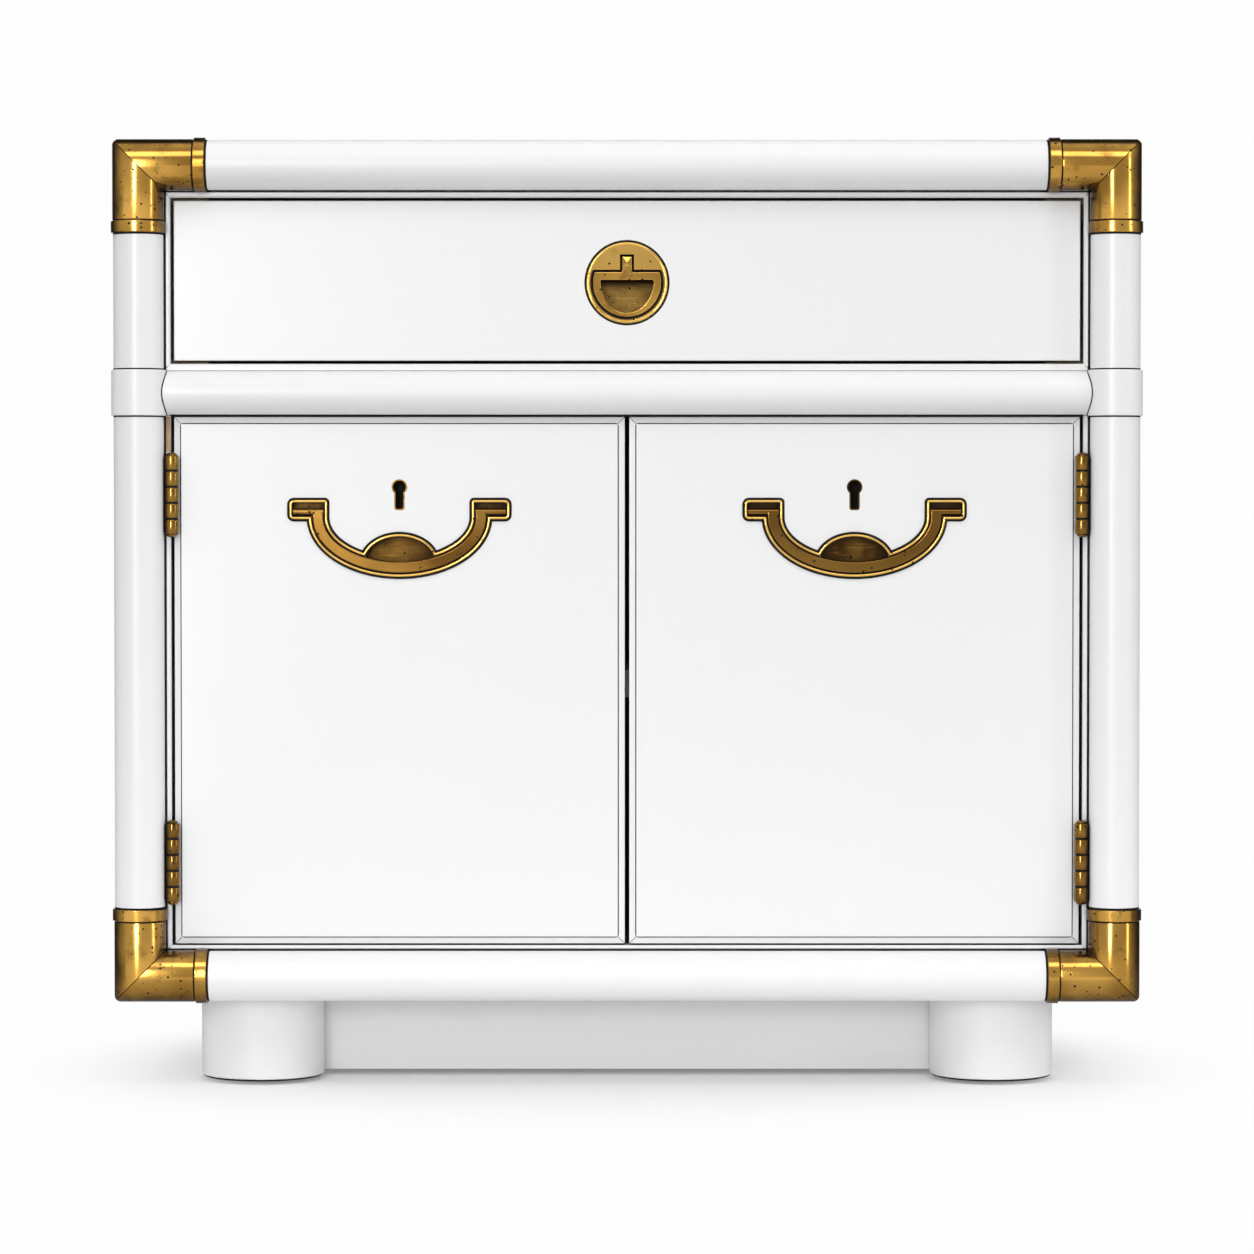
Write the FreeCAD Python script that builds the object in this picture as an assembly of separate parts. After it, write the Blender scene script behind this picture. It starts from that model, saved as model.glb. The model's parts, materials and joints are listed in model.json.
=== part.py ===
import FreeCAD, Part
import os

from FreeCAD import Vector

# White campaign nightstand. Millimetres, +Z up, front towards -Y, origin on the floor under its centre.

# Overall size, measured over the brass bands of the front frame
overall_width = 660.0
overall_depth = 420.0
overall_height = 610.0

# Front frame of round stock with brass elbows
rod_diameter = 32.0
rod_flat = 3.5  # planed off the back of each rod, where the case is glued on
middle_rail_diameter = 28.5
middle_rail_drop = 145.5  # top rail to middle rail, centre to centre
middle_rail_setback = 6.0  # behind the centre plane of the other rods
bottom_rail_height = 73.0  # centre above the floor
elbow_leg = 36.0  # from the crossing of the two rod centre lines
elbow_proud = 0.5  # elbow over the rod
elbow_wall = 1.3
elbow_corner_clip = 3.8
band_width = 7.5
band_proud = 1.5  # bands and collars over the rod
band_round = 0.5
collar_lip = 0.4  # collar above and below the middle rail

# Case panels
panel_thickness = 18.0
top_thickness = 20.0
top_round = 1.5
back_thickness = 6.0
back_rebate = 8.0
bottom_panel_raise = 7.0  # underside of the bottom panel above that of the bottom rail

# Mouldings round the two openings
front_setback = 4.5  # flush front of drawer and doors behind the rod centre plane
front_thickness = 19.0  # drawer front, doors and mouldings
moulding_width = 10.9  # side panel to opening
moulding_reveal = 4.5  # rail to drawer opening
sill_reveal = 3.2  # bottom rail to door opening
moulding_bevel = 1.2
moulding_clearance = 0.3  # to the bands, collars and middle rail

# Drawer
drawer_side_gap = 2.3
drawer_gap = 2.0  # above and below the front
drawer_edge_round = 0.8
drawer_box_gap = 6.6  # opening to the outside of the box
drawer_side_thickness = 12.0
drawer_side_height = 90.0
drawer_length = 350.0
drawer_housing = 8.0  # box sides let into the front
drawer_bottom_thickness = 6.0
drawer_bottom_raise = 8.0
drawer_groove = 6.0
runner_width = 16.0
runner_clearance = 0.3
guide_clearance = 0.5
guide_height = 14.0
kicker_clearance = 1.0

# Doors
door_meeting_gap = 3.0
door_head_gap = 1.1
door_sill_gap = 1.2
door_border = 4.5  # bevelled border round the raised field
door_step = 0.7
door_fall = 1.0

# Butt hinges
hinge_gap = 2.2  # door edge to moulding
hinge_length = 51.4
hinge_knuckle_diameter = 9.2
hinge_knuckle_gap = 0.3
hinge_leaf_gap = 0.3
hinge_leaf_margin = 2.5
hinge_face_gap = 0.15  # knuckles in front of the door face
hinge_pin_diameter = 4.0
hinge_tip_diameter = 6.8
hinge_tip_height = 2.0
hinge_upper_drop = 49.65  # door top to hinge centre
hinge_lower_rise = 52.5  # door bottom to hinge centre
screw_diameter = 3.0
screw_head_diameter = 5.6
screw_length = 11.0
hinge_screw_pitch = 18.0
pivot_clearance = 0.05  # radial, pins and trunnions

# Bail pulls on the doors, sizes from the centre of the bail's ellipse
pull_drop = 64.15  # door top to that centre
bail_outer_width = 55.7
bail_outer_height = 35.8
bail_bar = 6.9
bail_thickness = 4.4
bail_pivot_rise = 3.35
bail_reach = 68.1  # centre to the end of a tip
bail_round = 0.7
bail_pocket_rise = 3.0  # dark room above each tip
pull_clearance = 0.5
pull_rim = 2.4
pull_rim_round = 0.5
pull_proud = 1.2  # rim over the door face
pull_floor = 1.2
pull_floor_gap = 0.3
cup_half_width = 22.4
cup_height = 16.1
cup_depth = 9.0
trunnion_diameter = 2.0
trunnion_length = 2.0
trunnion_end_gap = 0.3

# Keyhole liners
keyhole_rise = 19.3  # above the centre of the bail's ellipse
keyhole_radius = 5.0
keyhole_slot_width = 6.6
keyhole_slot_length = 14.8
keyhole_wall = 0.8
keyhole_proud = 0.2
keyhole_liner_depth = 4.0
keyhole_depth = 12.0

# Round ring pull on the drawer
ring_plate_diameter = 52.2
ring_plate_proud = 0.6
ring_drop = 1.25  # below the middle of the drawer front
ring_radius = 22.5
ring_top = 7.0
ring_thickness = 3.5
ring_opening_half_width = 16.9
ring_bar = 5.3
ring_foot = 3.3  # width of the ring at its bottom
ring_round = 0.6
ring_clearance = 0.7
ring_bar_gap = 1.3
ring_tab_half_width = 3.3
ring_tab_top = 16.9
ring_notch_gap = 1.2
ring_cup_depth = 14.5
ring_cup_floor = 1.2

# Catches, shelf, feet and plinth
strike_width = 32.0
strike_height = 9.0
strike_thickness = 1.2
strike_margin = 2.5
catch_depth = 14.0
catch_gap = 0.3
shelf_height = 250.0  # underside above the floor
shelf_side_gap = 1.0
shelf_setback = 25.0
shelf_pin_diameter = 6.0
shelf_pin_length = 10.0  # each way, in the panel and out of it
shelf_pin_inset = 50.0
foot_diameter = 80.0
foot_side_inset = 83.0
foot_front_setback = 47.5
foot_rear_setback = 70.0
foot_round = 2.5
foot_tenon_diameter = 24.0
foot_tenon_length = 12.0
glide_diameter = 36.0
glide_thickness = 2.0
plinth_raise = 4.0
plinth_front_setback = 12.0  # behind the front feet's centres

# Places worked out from the sizes above
rod_radius = rod_diameter / 2
middle_radius = middle_rail_diameter / 2
band_radius = rod_radius + band_proud
elbow_radius = rod_radius + elbow_proud
tenon_radius = elbow_radius - elbow_wall
post_x = overall_width / 2 - band_radius
frame_y = band_radius - overall_depth / 2
middle_rail_y = frame_y + middle_rail_setback
case_front = frame_y + rod_radius - rod_flat
case_back = overall_depth / 2
back_front = case_back - back_thickness
top_rail_z = overall_height - band_radius
middle_rail_z = top_rail_z - middle_rail_drop
bottom_rail_z = bottom_rail_height
side_inner = post_x - panel_thickness / 2
side_outer = post_x + panel_thickness / 2
top_surface = top_rail_z + rod_radius
top_underside = top_surface - top_thickness
case_bottom = bottom_rail_z - rod_radius
bottom_underside = case_bottom + bottom_panel_raise
bottom_top = bottom_underside + panel_thickness
divider_underside = middle_rail_z - panel_thickness / 2
divider_top = divider_underside + panel_thickness
front_face = frame_y + front_setback
front_back = front_face + front_thickness
opening_half = side_inner - moulding_width
drawer_opening_top = top_rail_z - rod_radius - moulding_reveal
drawer_opening_bottom = middle_rail_z + middle_radius + moulding_reveal
door_opening_bottom = bottom_rail_z + rod_radius + sill_reveal
drawer_low = drawer_opening_bottom + drawer_gap
drawer_high = drawer_opening_top - drawer_gap
drawer_half = opening_half - drawer_box_gap
drawer_box_top = drawer_low + drawer_side_height
drawer_box_back = front_back + drawer_length
drawer_bottom_low = drawer_low + drawer_bottom_raise
drawer_bottom_high = drawer_bottom_low + drawer_bottom_thickness
door_inner = door_meeting_gap / 2
door_outer = opening_half - hinge_gap
door_low = door_opening_bottom + door_sill_gap
door_high = middle_rail_z - middle_radius - door_head_gap
door_centre = (door_inner + door_outer) / 2
knuckle_radius = hinge_knuckle_diameter / 2
hinge_x = opening_half - hinge_gap / 2
hinge_y = front_face - knuckle_radius - hinge_face_gap
hinge_leaf = (hinge_gap - hinge_leaf_gap) / 2
hinge_levels = (door_low + hinge_lower_rise, door_high - hinge_upper_drop)
pull_z = door_high - pull_drop
ring_z = (drawer_low + drawer_high) / 2 - ring_drop
foot_radius = foot_diameter / 2
foot_x = side_outer - foot_side_inset
front_foot_y = case_front + foot_front_setback
rear_foot_y = case_back - foot_rear_setback
far = overall_width + overall_depth + overall_height  # reach of a cutting block


def box(x0, x1, y0, y1, z0, z1):
    return Part.makeBox(x1 - x0, y1 - y0, z1 - z0, Vector(x0, y0, z0))


def bar(radius, start, end):
    return Part.makeCylinder(radius, end.sub(start).Length, start, end.sub(start))


def prism(outline, y0, y1):
    corners = [Vector(x, y0, z) for x, z in outline]
    return Part.Face(Part.makePolygon(corners + corners[:1])).extrude(Vector(0, y1 - y0, 0))


def oval(x, z, half_width, half_height, y0, y1):
    centre = Vector(x, y0, z)
    across = centre.add(Vector(half_width, 0, 0))
    upward = centre.add(Vector(0, 0, half_height))
    ends = (across, upward) if half_width >= half_height else (upward, across)
    edge = Part.Ellipse(ends[0], ends[1], centre).toShape()
    return Part.Face(Part.Wire([edge])).extrude(Vector(0, y1 - y0, 0))


def joined(*shapes):
    return shapes[0].fuse(list(shapes[1:])).removeSplitter()


def mirrored(shape):
    return shape.mirror(Vector(0, 0, 0), Vector(1, 0, 0))


def rounded(shape, radius, wanted):
    return shape.makeFillet(radius, [edge for edge in shape.Edges if wanted(edge.BoundBox)])


def save(name, *solids):
    shape = solids[0] if len(solids) == 1 else Part.makeCompound(list(solids))
    shape.exportStep("parts/" + name + ".step")


def save_pair(name, shape):
    save("right_" + name, shape)
    save("left_" + name, mirrored(shape))


def save_both(name, *shapes):
    save(name, *shapes, *[mirrored(each) for each in shapes])


def behind_case():
    # room taken by the case behind the front frame, and by the top panel over the top rail
    case = box(-far, far, case_front, far, -far, far)
    top = box(-side_outer, side_outer, frame_y, far, top_underside, far)
    return [case, top]


def upright(radius, z0, z1):
    return bar(radius, Vector(post_x, frame_y, z0), Vector(post_x, frame_y, z1))


def level(radius, z, x0, x1):
    return bar(radius, Vector(x0, frame_y, z), Vector(x1, frame_y, z))


def post_share():
    # part of the frame's plane that belongs to the right post, between its two mitres
    reach = 2 * rod_radius
    outline = [
        (post_x + reach, top_rail_z + reach),
        (post_x - reach, top_rail_z - reach),
        (post_x - reach, bottom_rail_z + reach),
        (post_x + reach, bottom_rail_z - reach),
    ]
    return prism(outline, -far, far)


def rail_share(z, up):
    # part of the frame's plane that belongs to a rail, with up 1 for the top rail and -1 for the bottom one
    reach = 2 * rod_radius
    outline = [
        (-post_x - reach, z + up * reach),
        (post_x + reach, z + up * reach),
        (post_x - reach, z - up * reach),
        (reach - post_x, z - up * reach),
    ]
    return prism(outline, -far, far)


def front_post():
    core = upright(tenon_radius, bottom_rail_z - rod_diameter, top_rail_z + rod_diameter)
    shown = upright(rod_radius, bottom_rail_z + elbow_leg, top_rail_z - elbow_leg)
    return joined(core, shown).common(post_share()).cut(behind_case() + hinge_screws(1))


def mitred_rail(z, up):
    end = post_x + rod_diameter
    core = level(tenon_radius, z, -end, end)
    shown = level(rod_radius, z, elbow_leg - post_x, post_x - elbow_leg)
    return joined(core, shown).common(rail_share(z, up)).cut(behind_case())


def middle_bar(radius):
    place = Vector(0, middle_rail_y, middle_rail_z)
    return bar(radius, place + Vector(-post_x, 0, 0), place + Vector(post_x, 0, 0))


def middle_rail():
    collar = upright(band_radius, case_bottom, top_surface)
    rail = middle_bar(middle_radius)
    return rail.cut([collar, mirrored(collar)] + behind_case())


def elbow(z, up):
    def knee(radius):
        post_leg = upright(radius, z - up * elbow_leg, z + up * rod_diameter).common(post_share())
        rail_leg = level(radius, z, post_x - elbow_leg, post_x + rod_diameter).common(rail_share(z, up))
        return joined(post_leg, rail_leg)

    corner_x = post_x + elbow_radius
    corner_z = z + up * elbow_radius
    tip = [
        (corner_x + rod_radius, corner_z + up * rod_radius),
        (corner_x - elbow_corner_clip - rod_radius, corner_z + up * rod_radius),
        (corner_x + rod_radius, corner_z - up * (elbow_corner_clip + rod_radius)),
    ]
    return knee(elbow_radius).cut([knee(tenon_radius), prism(tip, -far, far)] + behind_case())


def band(start, end):
    solid = bar(band_radius, start, end)
    rims = [edge for edge in solid.Edges if isinstance(edge.Curve, Part.Circle)]
    return solid.makeFillet(band_round, rims).cut([bar(rod_radius, start, end)] + behind_case())


def post_band(z0, z1):
    return band(Vector(post_x, frame_y, z0), Vector(post_x, frame_y, z1))


def rail_band(z):
    inner = post_x - elbow_leg - band_width
    return band(Vector(inner, frame_y, z), Vector(inner + band_width, frame_y, z))


def front_frame():
    save_pair("front_post", front_post())
    save("top_front_rail", mitred_rail(top_rail_z, 1))
    save("bottom_front_rail", mitred_rail(bottom_rail_z, -1))
    save("middle_front_rail", middle_rail())
    save_pair("top_brass_elbow", elbow(top_rail_z, 1))
    save_pair("bottom_brass_elbow", elbow(bottom_rail_z, -1))
    top_end = top_rail_z - elbow_leg
    bottom_end = bottom_rail_z + elbow_leg
    upper = post_band(top_end - band_width, top_end)
    lower = post_band(bottom_end, bottom_end + band_width)
    save_both("post_bands", upper, lower)
    upper = rail_band(top_rail_z)
    lower = rail_band(bottom_rail_z)
    save_both("rail_bands", upper, lower)
    half_collar = middle_radius + collar_lip
    save_both("post_collars", post_band(middle_rail_z - half_collar, middle_rail_z + half_collar))


def screw(head, direction):
    # countersunk screw, with the flat of its head at the given point
    sink = (screw_head_diameter - screw_diameter) / 2
    cone = Part.makeCone(screw_head_diameter / 2, screw_diameter / 2, sink, head, direction)
    return joined(cone, Part.makeCylinder(screw_diameter / 2, screw_length, head, direction))


def back_screws():
    places = []
    for z in (bottom_top, middle_rail_z, top_underside):
        places.append((side_inner + back_rebate / 2, z - 2 * back_rebate))
        places.append((-side_inner - back_rebate / 2, z - 2 * back_rebate))
    for x in (-side_inner / 2, 0, side_inner / 2):
        places.append((x, bottom_underside + panel_thickness / 2))
        places.append((x, middle_rail_z))
    return [screw(Vector(x, case_back, z), Vector(0, -1, 0)) for x, z in places]


def shelf_pins():
    z = shelf_height - shelf_pin_diameter / 2
    pins = []
    for y in (front_back + shelf_setback + shelf_pin_inset, back_front - shelf_pin_inset):
        inner = Vector(side_inner - shelf_pin_length, y, z)
        pin = bar(shelf_pin_diameter / 2, inner, inner.add(Vector(2 * shelf_pin_length, 0, 0)))
        pins += [pin, mirrored(pin)]
    return pins


def foot(y):
    solid = bar(foot_radius, Vector(foot_x, y, glide_thickness), Vector(foot_x, y, bottom_underside))
    solid = rounded(solid, foot_round, lambda b: b.ZMax < glide_thickness + foot_round)
    top = Vector(foot_x, y, bottom_underside)
    return joined(solid, bar(foot_tenon_diameter / 2, top, top.add(Vector(0, 0, foot_tenon_length))))


def case_panels():
    back_half = side_inner + back_rebate
    back = box(-back_half, back_half, back_front, case_back, bottom_underside, top_underside)
    screws = back_screws()
    pins = shelf_pins()
    side = box(side_inner, side_outer, case_front, case_back, case_bottom, top_underside)
    save_pair("side_panel", side.cut([back] + screws + pins + hinge_screws(1)))
    top = box(-side_outer, side_outer, frame_y, case_back, top_underside, top_surface)
    shown = lambda b: b.ZMin > top_surface - top_round and b.YMax > frame_y + top_round
    save("top_panel", rounded(top, top_round, shown))
    feet = [foot(front_foot_y), foot(rear_foot_y)]
    feet += [mirrored(each) for each in feet]
    bottom = box(-side_inner, side_inner, case_front, back_front, bottom_underside, bottom_top)
    save("bottom_panel", bottom.cut(feet + screws))
    divider = box(-side_inner, side_inner, case_front, back_front, divider_underside, divider_top)
    save("drawer_divider", divider.cut(screws))
    save("back_panel", back.cut(screws))
    save("back_panel_screws", *screws)
    save("shelf_pins", *pins)
    shelf_half = side_inner - shelf_side_gap
    shelf_front = front_back + shelf_setback
    shelf_top = shelf_height + panel_thickness
    save("shelf", box(-shelf_half, shelf_half, shelf_front, back_front - shelf_side_gap, shelf_height, shelf_top))
    save("front_feet", feet[0], feet[2])
    save("rear_feet", feet[1], feet[3])
    plinth(feet)


def plinth(feet):
    half = panel_thickness / 2
    front_y = front_foot_y + plinth_front_setback
    front = box(-foot_x, foot_x, front_y, front_y + panel_thickness, plinth_raise, bottom_underside)
    back = box(-foot_x, foot_x, rear_foot_y - half, rear_foot_y + half, plinth_raise, bottom_underside)
    side = box(foot_x - half, foot_x + half, front_foot_y, rear_foot_y, plinth_raise, bottom_underside)
    save("front_plinth", front.cut(feet))
    save("back_plinth", back.cut(feet))
    save_both("side_plinths", side.cut(feet))
    unders = [Vector(foot_x, y, 0) for y in (front_foot_y, rear_foot_y)]
    rise = Vector(0, 0, glide_thickness)
    save_both("foot_glides", *[bar(glide_diameter / 2, under, under.add(rise)) for under in unders])


def mitre(z, up, flat):
    # waste beyond the mitre at an opening's right corner, from a level strip if flat, else from an upright one
    reach = 4 * moulding_width
    corner = (opening_half, z)
    diagonal = (opening_half + reach, z + up * reach)
    third = (opening_half + reach, z) if flat else (opening_half, z + up * reach)
    return prism([corner, diagonal, third], -far, far)


def moulding(strip, corners, flat, edge):
    # strip trimmed at its mitres and round the rods, and bevelled along its front edge on the opening
    room = band_radius + moulding_clearance
    post = upright(room, case_bottom, top_surface)
    rods = [post, mirrored(post)]
    rods.append(level(room, top_rail_z, -post_x, post_x))
    rods.append(level(room, bottom_rail_z, -post_x, post_x))
    rods.append(middle_bar(middle_radius + moulding_clearance))
    waste = [mitre(z, up, flat) for z, up in corners]
    if flat:
        waste += [mirrored(each) for each in waste]
    solid = strip.cut(waste + rods)
    return solid.makeChamfer(moulding_bevel, [each for each in solid.Edges if edge(each.BoundBox)])


def mouldings():
    touch = moulding_clearance / 10
    front = front_face + touch

    def along(z):
        return lambda b: b.YMax < front and abs(b.ZMin - z) < touch and b.ZLength < touch

    def beside(b):
        return b.YMax < front and abs(b.XMin - opening_half) < touch and b.XLength < touch

    top_corner = (drawer_opening_top, 1)
    bottom_corner = (drawer_opening_bottom, -1)
    sill_corner = (door_opening_bottom, -1)
    across = (-side_inner, side_inner, front_face, front_back)
    beyond = (opening_half, side_inner, front_face, front_back)
    top = box(*across, drawer_opening_top, top_underside)
    bottom = box(*across, divider_top, drawer_opening_bottom)
    sill = box(*across, bottom_top, door_opening_bottom)
    drawer_side = box(*beyond, divider_top, top_underside)
    door_side = box(*beyond, bottom_top, divider_underside)
    save("drawer_top_moulding", moulding(top, [top_corner], True, along(drawer_opening_top)))
    save("drawer_bottom_moulding", moulding(bottom, [bottom_corner], True, along(drawer_opening_bottom)))
    save("door_sill_moulding", moulding(sill, [sill_corner], True, along(door_opening_bottom)))
    save_both("drawer_side_mouldings", moulding(drawer_side, [top_corner, bottom_corner], False, beside))
    screwed = moulding(door_side, [sill_corner], False, beside).cut(hinge_screws(1))
    save_both("door_side_mouldings", screwed)


def hinge_screws(side):
    # screws of the right door's hinges, with side 1 for the frame leaves and -1 for the door leaves
    y = (front_face + front_back - hinge_leaf_margin) / 2
    x = opening_half - hinge_leaf if side > 0 else door_outer + hinge_leaf
    steps = (-hinge_screw_pitch, 0, hinge_screw_pitch)
    return [screw(Vector(x, y, z + step), Vector(side, 0, 0)) for z in hinge_levels for step in steps]


def hinge_bar(radius, z0, z1):
    return bar(radius, Vector(hinge_x, hinge_y, z0), Vector(hinge_x, hinge_y, z1))


def hinge_leaf_solid(centre, side):
    # leaf with its own knuckles: the first, third and fifth on the frame, the others on the door
    low = centre - hinge_length / 2
    pitch = hinge_length / 5
    x = opening_half - hinge_leaf if side > 0 else door_outer
    ends = (low + hinge_knuckle_gap / 2, low + hinge_length - hinge_knuckle_gap / 2)
    leaf = box(x, x + hinge_leaf, hinge_y, front_back - hinge_leaf_margin, *ends)
    room = knuckle_radius + hinge_leaf_gap
    own = []
    others = []
    for step in range(5):
        z0 = low + step * pitch
        if (step % 2 == 0) == (side > 0):
            own.append(hinge_bar(knuckle_radius, z0 + hinge_knuckle_gap / 2, z0 + pitch - hinge_knuckle_gap / 2))
        else:
            others.append(hinge_bar(room, z0 - hinge_knuckle_gap / 2, z0 + pitch + hinge_knuckle_gap / 2))
    bore = hinge_bar(hinge_pin_diameter / 2 + pivot_clearance, low - hinge_length, low + 2 * hinge_length)
    return joined(leaf.cut(others), *own).cut([bore] + hinge_screws(side))


def hinge_pin(centre):
    low = centre - hinge_length / 2 + hinge_knuckle_gap / 2
    high = centre + hinge_length / 2 - hinge_knuckle_gap / 2
    tip = hinge_tip_diameter / 2
    button = hinge_bar(tip, high, high + hinge_tip_height)
    button = rounded(button, hinge_tip_height / 2, lambda b: b.ZMin > high + hinge_tip_height / 2)
    foot_button = hinge_bar(tip, low - hinge_tip_height, low)
    foot_button = rounded(foot_button, hinge_tip_height / 2, lambda b: b.ZMax < low - hinge_tip_height / 2)
    return joined(hinge_bar(hinge_pin_diameter / 2, low, high), button, foot_button)


def hinges():
    for name, side in (("hinge_frame_leaves", 1), ("hinge_door_leaves", -1)):
        leaves = [hinge_leaf_solid(z, side) for z in hinge_levels]
        save("right_" + name, *leaves)
        save("left_" + name, *[mirrored(each) for each in leaves])
    pins = [hinge_pin(z) for z in hinge_levels]
    save_both("hinge_pins", *pins)
    save_both("hinge_frame_screws", *hinge_screws(1))
    screws = hinge_screws(-1)
    save("right_door_screws", *screws)
    save("left_door_screws", *[mirrored(each) for each in screws])


def door_slab():
    field_y = front_face + door_step
    border_y = field_y + door_fall

    def outline(inset, y):
        x0 = door_inner + inset
        x1 = door_outer - inset
        z0 = door_low + inset
        z1 = door_high - inset
        corners = [Vector(x, y, z) for x, z in ((x0, z0), (x1, z0), (x1, z1), (x0, z1))]
        return Part.makePolygon(corners + corners[:1])

    bevel = Part.makeLoft([outline(door_border, field_y), outline(0, border_y)], True, True)
    body = box(door_inner, door_outer, border_y, front_back, door_low, door_high)
    inner = door_inner + door_border
    outer = door_outer - door_border
    field = box(inner, outer, front_face, field_y, door_low + door_border, door_high - door_border)
    return joined(body, bevel, field)


def lower_half(shape):
    return shape.common(box(-far, far, -far, far, -far, 0))


def bail_bow(margin, y0, y1):
    # bow of the bail seen from the front, wider by a margin on both sides
    width = bail_outer_width + margin
    inner_width = bail_outer_width - bail_bar - margin
    inner_height = bail_outer_height - bail_bar - margin
    outer = lower_half(oval(0, 0, width, bail_outer_height + margin, y0, y1))
    inner = lower_half(oval(0, 0, inner_width, inner_height, y0, y1))
    legs = box(-width, width, y0, y1, 0, bail_pivot_rise)
    room = box(-inner_width, inner_width, y0, y1, 0, bail_pivot_rise)
    return joined(outer, legs).cut(joined(inner, room))


def bail_pockets(margin, y0, y1):
    # the two places of the bail's tips, with rounded outer corners
    tip = bail_thickness / 2
    inner = bail_outer_width - bail_bar - margin
    outer = bail_reach + margin
    low = bail_pivot_rise - tip - margin
    high = bail_pivot_rise + tip + bail_pocket_rise + margin
    pocket = box(inner, outer, y0, y1, low, high)
    pocket = rounded(pocket, margin, lambda b: b.XMin > outer - margin / 2 and b.ZLength < margin / 2)
    return [pocket, mirrored(pocket)]


def finger_cup(margin, y0, y1):
    # cup for the fingers, centred on the inner edge of the bow's lowest point
    return oval(0, bail_bar - bail_outer_height, cup_half_width + margin, cup_height + margin, y0, y1)


def bail_pull():
    # tray of the pull, its whole outer form and the bail, about the centre of the bail's ellipse
    rim_y = front_face - pull_proud
    floor_y = rim_y + bail_thickness + pull_floor_gap
    back_y = floor_y + pull_floor
    cup_y = rim_y + cup_depth
    rim = pull_clearance + pull_rim
    bow_room = lower_half(oval(0, 0, bail_outer_width + rim, bail_outer_height + rim, rim_y, cup_y + pull_floor))
    cup_rim = finger_cup(pull_rim, rim_y, back_y).common(bow_room)
    cup_back = finger_cup(pull_floor, rim_y, cup_y + pull_floor).common(bow_room)
    outer = joined(bail_bow(rim, rim_y, back_y), *bail_pockets(rim, rim_y, back_y), cup_rim, cup_back)
    swept = lower_half(
        oval(0, 0, bail_outer_width + pull_clearance, bail_outer_height + pull_clearance, rim_y, cup_y)
    )
    channel = joined(
        bail_bow(pull_clearance, rim_y, floor_y),
        *bail_pockets(pull_clearance, rim_y, floor_y),
        finger_cup(0, rim_y, cup_y).common(swept),
    )
    pivot_y = rim_y + bail_thickness / 2
    start = Vector(bail_reach, pivot_y, bail_pivot_rise)
    pin = bar(trunnion_diameter / 2, start, start.add(Vector(trunnion_length, 0, 0)))
    bore_length = trunnion_length + trunnion_end_gap
    bore = bar(trunnion_diameter / 2 + pivot_clearance, start, start.add(Vector(bore_length, 0, 0)))
    tray = outer.cut([channel, bore, mirrored(bore)])
    tray = rounded(tray, pull_rim_round, lambda b: b.YMax < rim_y + pull_rim_round / 2)
    bow = bail_bow(0, rim_y, rim_y + bail_thickness)
    half = bail_pivot_rise / 2
    bow = rounded(bow, bail_round, lambda b: b.YLength < bail_round and b.ZMin < half)
    tip = bar(bail_thickness / 2, Vector(bail_outer_width - bail_bar, pivot_y, bail_pivot_rise), start)
    bail = joined(bow, tip, mirrored(tip), pin, mirrored(pin))
    return outer, tray, bail


def keyhole(margin, y0, y1):
    round_part = bar(keyhole_radius + margin, Vector(0, y0, keyhole_rise), Vector(0, y1, keyhole_rise))
    half = keyhole_slot_width / 2 + margin
    low = keyhole_rise - keyhole_slot_length - margin
    slot = box(-half, half, y0, y1, low, keyhole_rise)
    slot = rounded(slot, half / 2, lambda b: b.ZMax < low + half and b.XLength < half)
    return joined(round_part, slot)


def doors():
    place = Vector(door_centre, 0, pull_z)
    outer, tray, bail = [each.translated(place) for each in bail_pull()]
    front = front_face - keyhole_proud
    lined = keyhole(0, front, front_face + keyhole_liner_depth).translated(place)
    hole = keyhole(-keyhole_wall, front, front_face + keyhole_depth).translated(place)
    save_pair("door_panel", door_slab().cut([outer, lined, hole] + hinge_screws(-1)))
    save_pair("door_pull_plate", tray)
    save_pair("door_bail", bail)
    save_pair("keyhole_liner", lined.cut(hole))
    strike_x = door_inner + door_border
    strike_z = door_high - strike_margin
    strike_y = front_back + strike_thickness
    strike = box(strike_x, strike_x + strike_width, front_back, strike_y, strike_z - strike_height, strike_z)
    save_pair("strike_plate", strike)
    catch_y = strike_y + catch_gap
    catch_low = strike_z - strike_height
    catch = box(strike_x, strike_x + strike_width, catch_y, catch_y + catch_depth, catch_low, divider_underside)
    save_both("magnetic_catches", catch)


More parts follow.
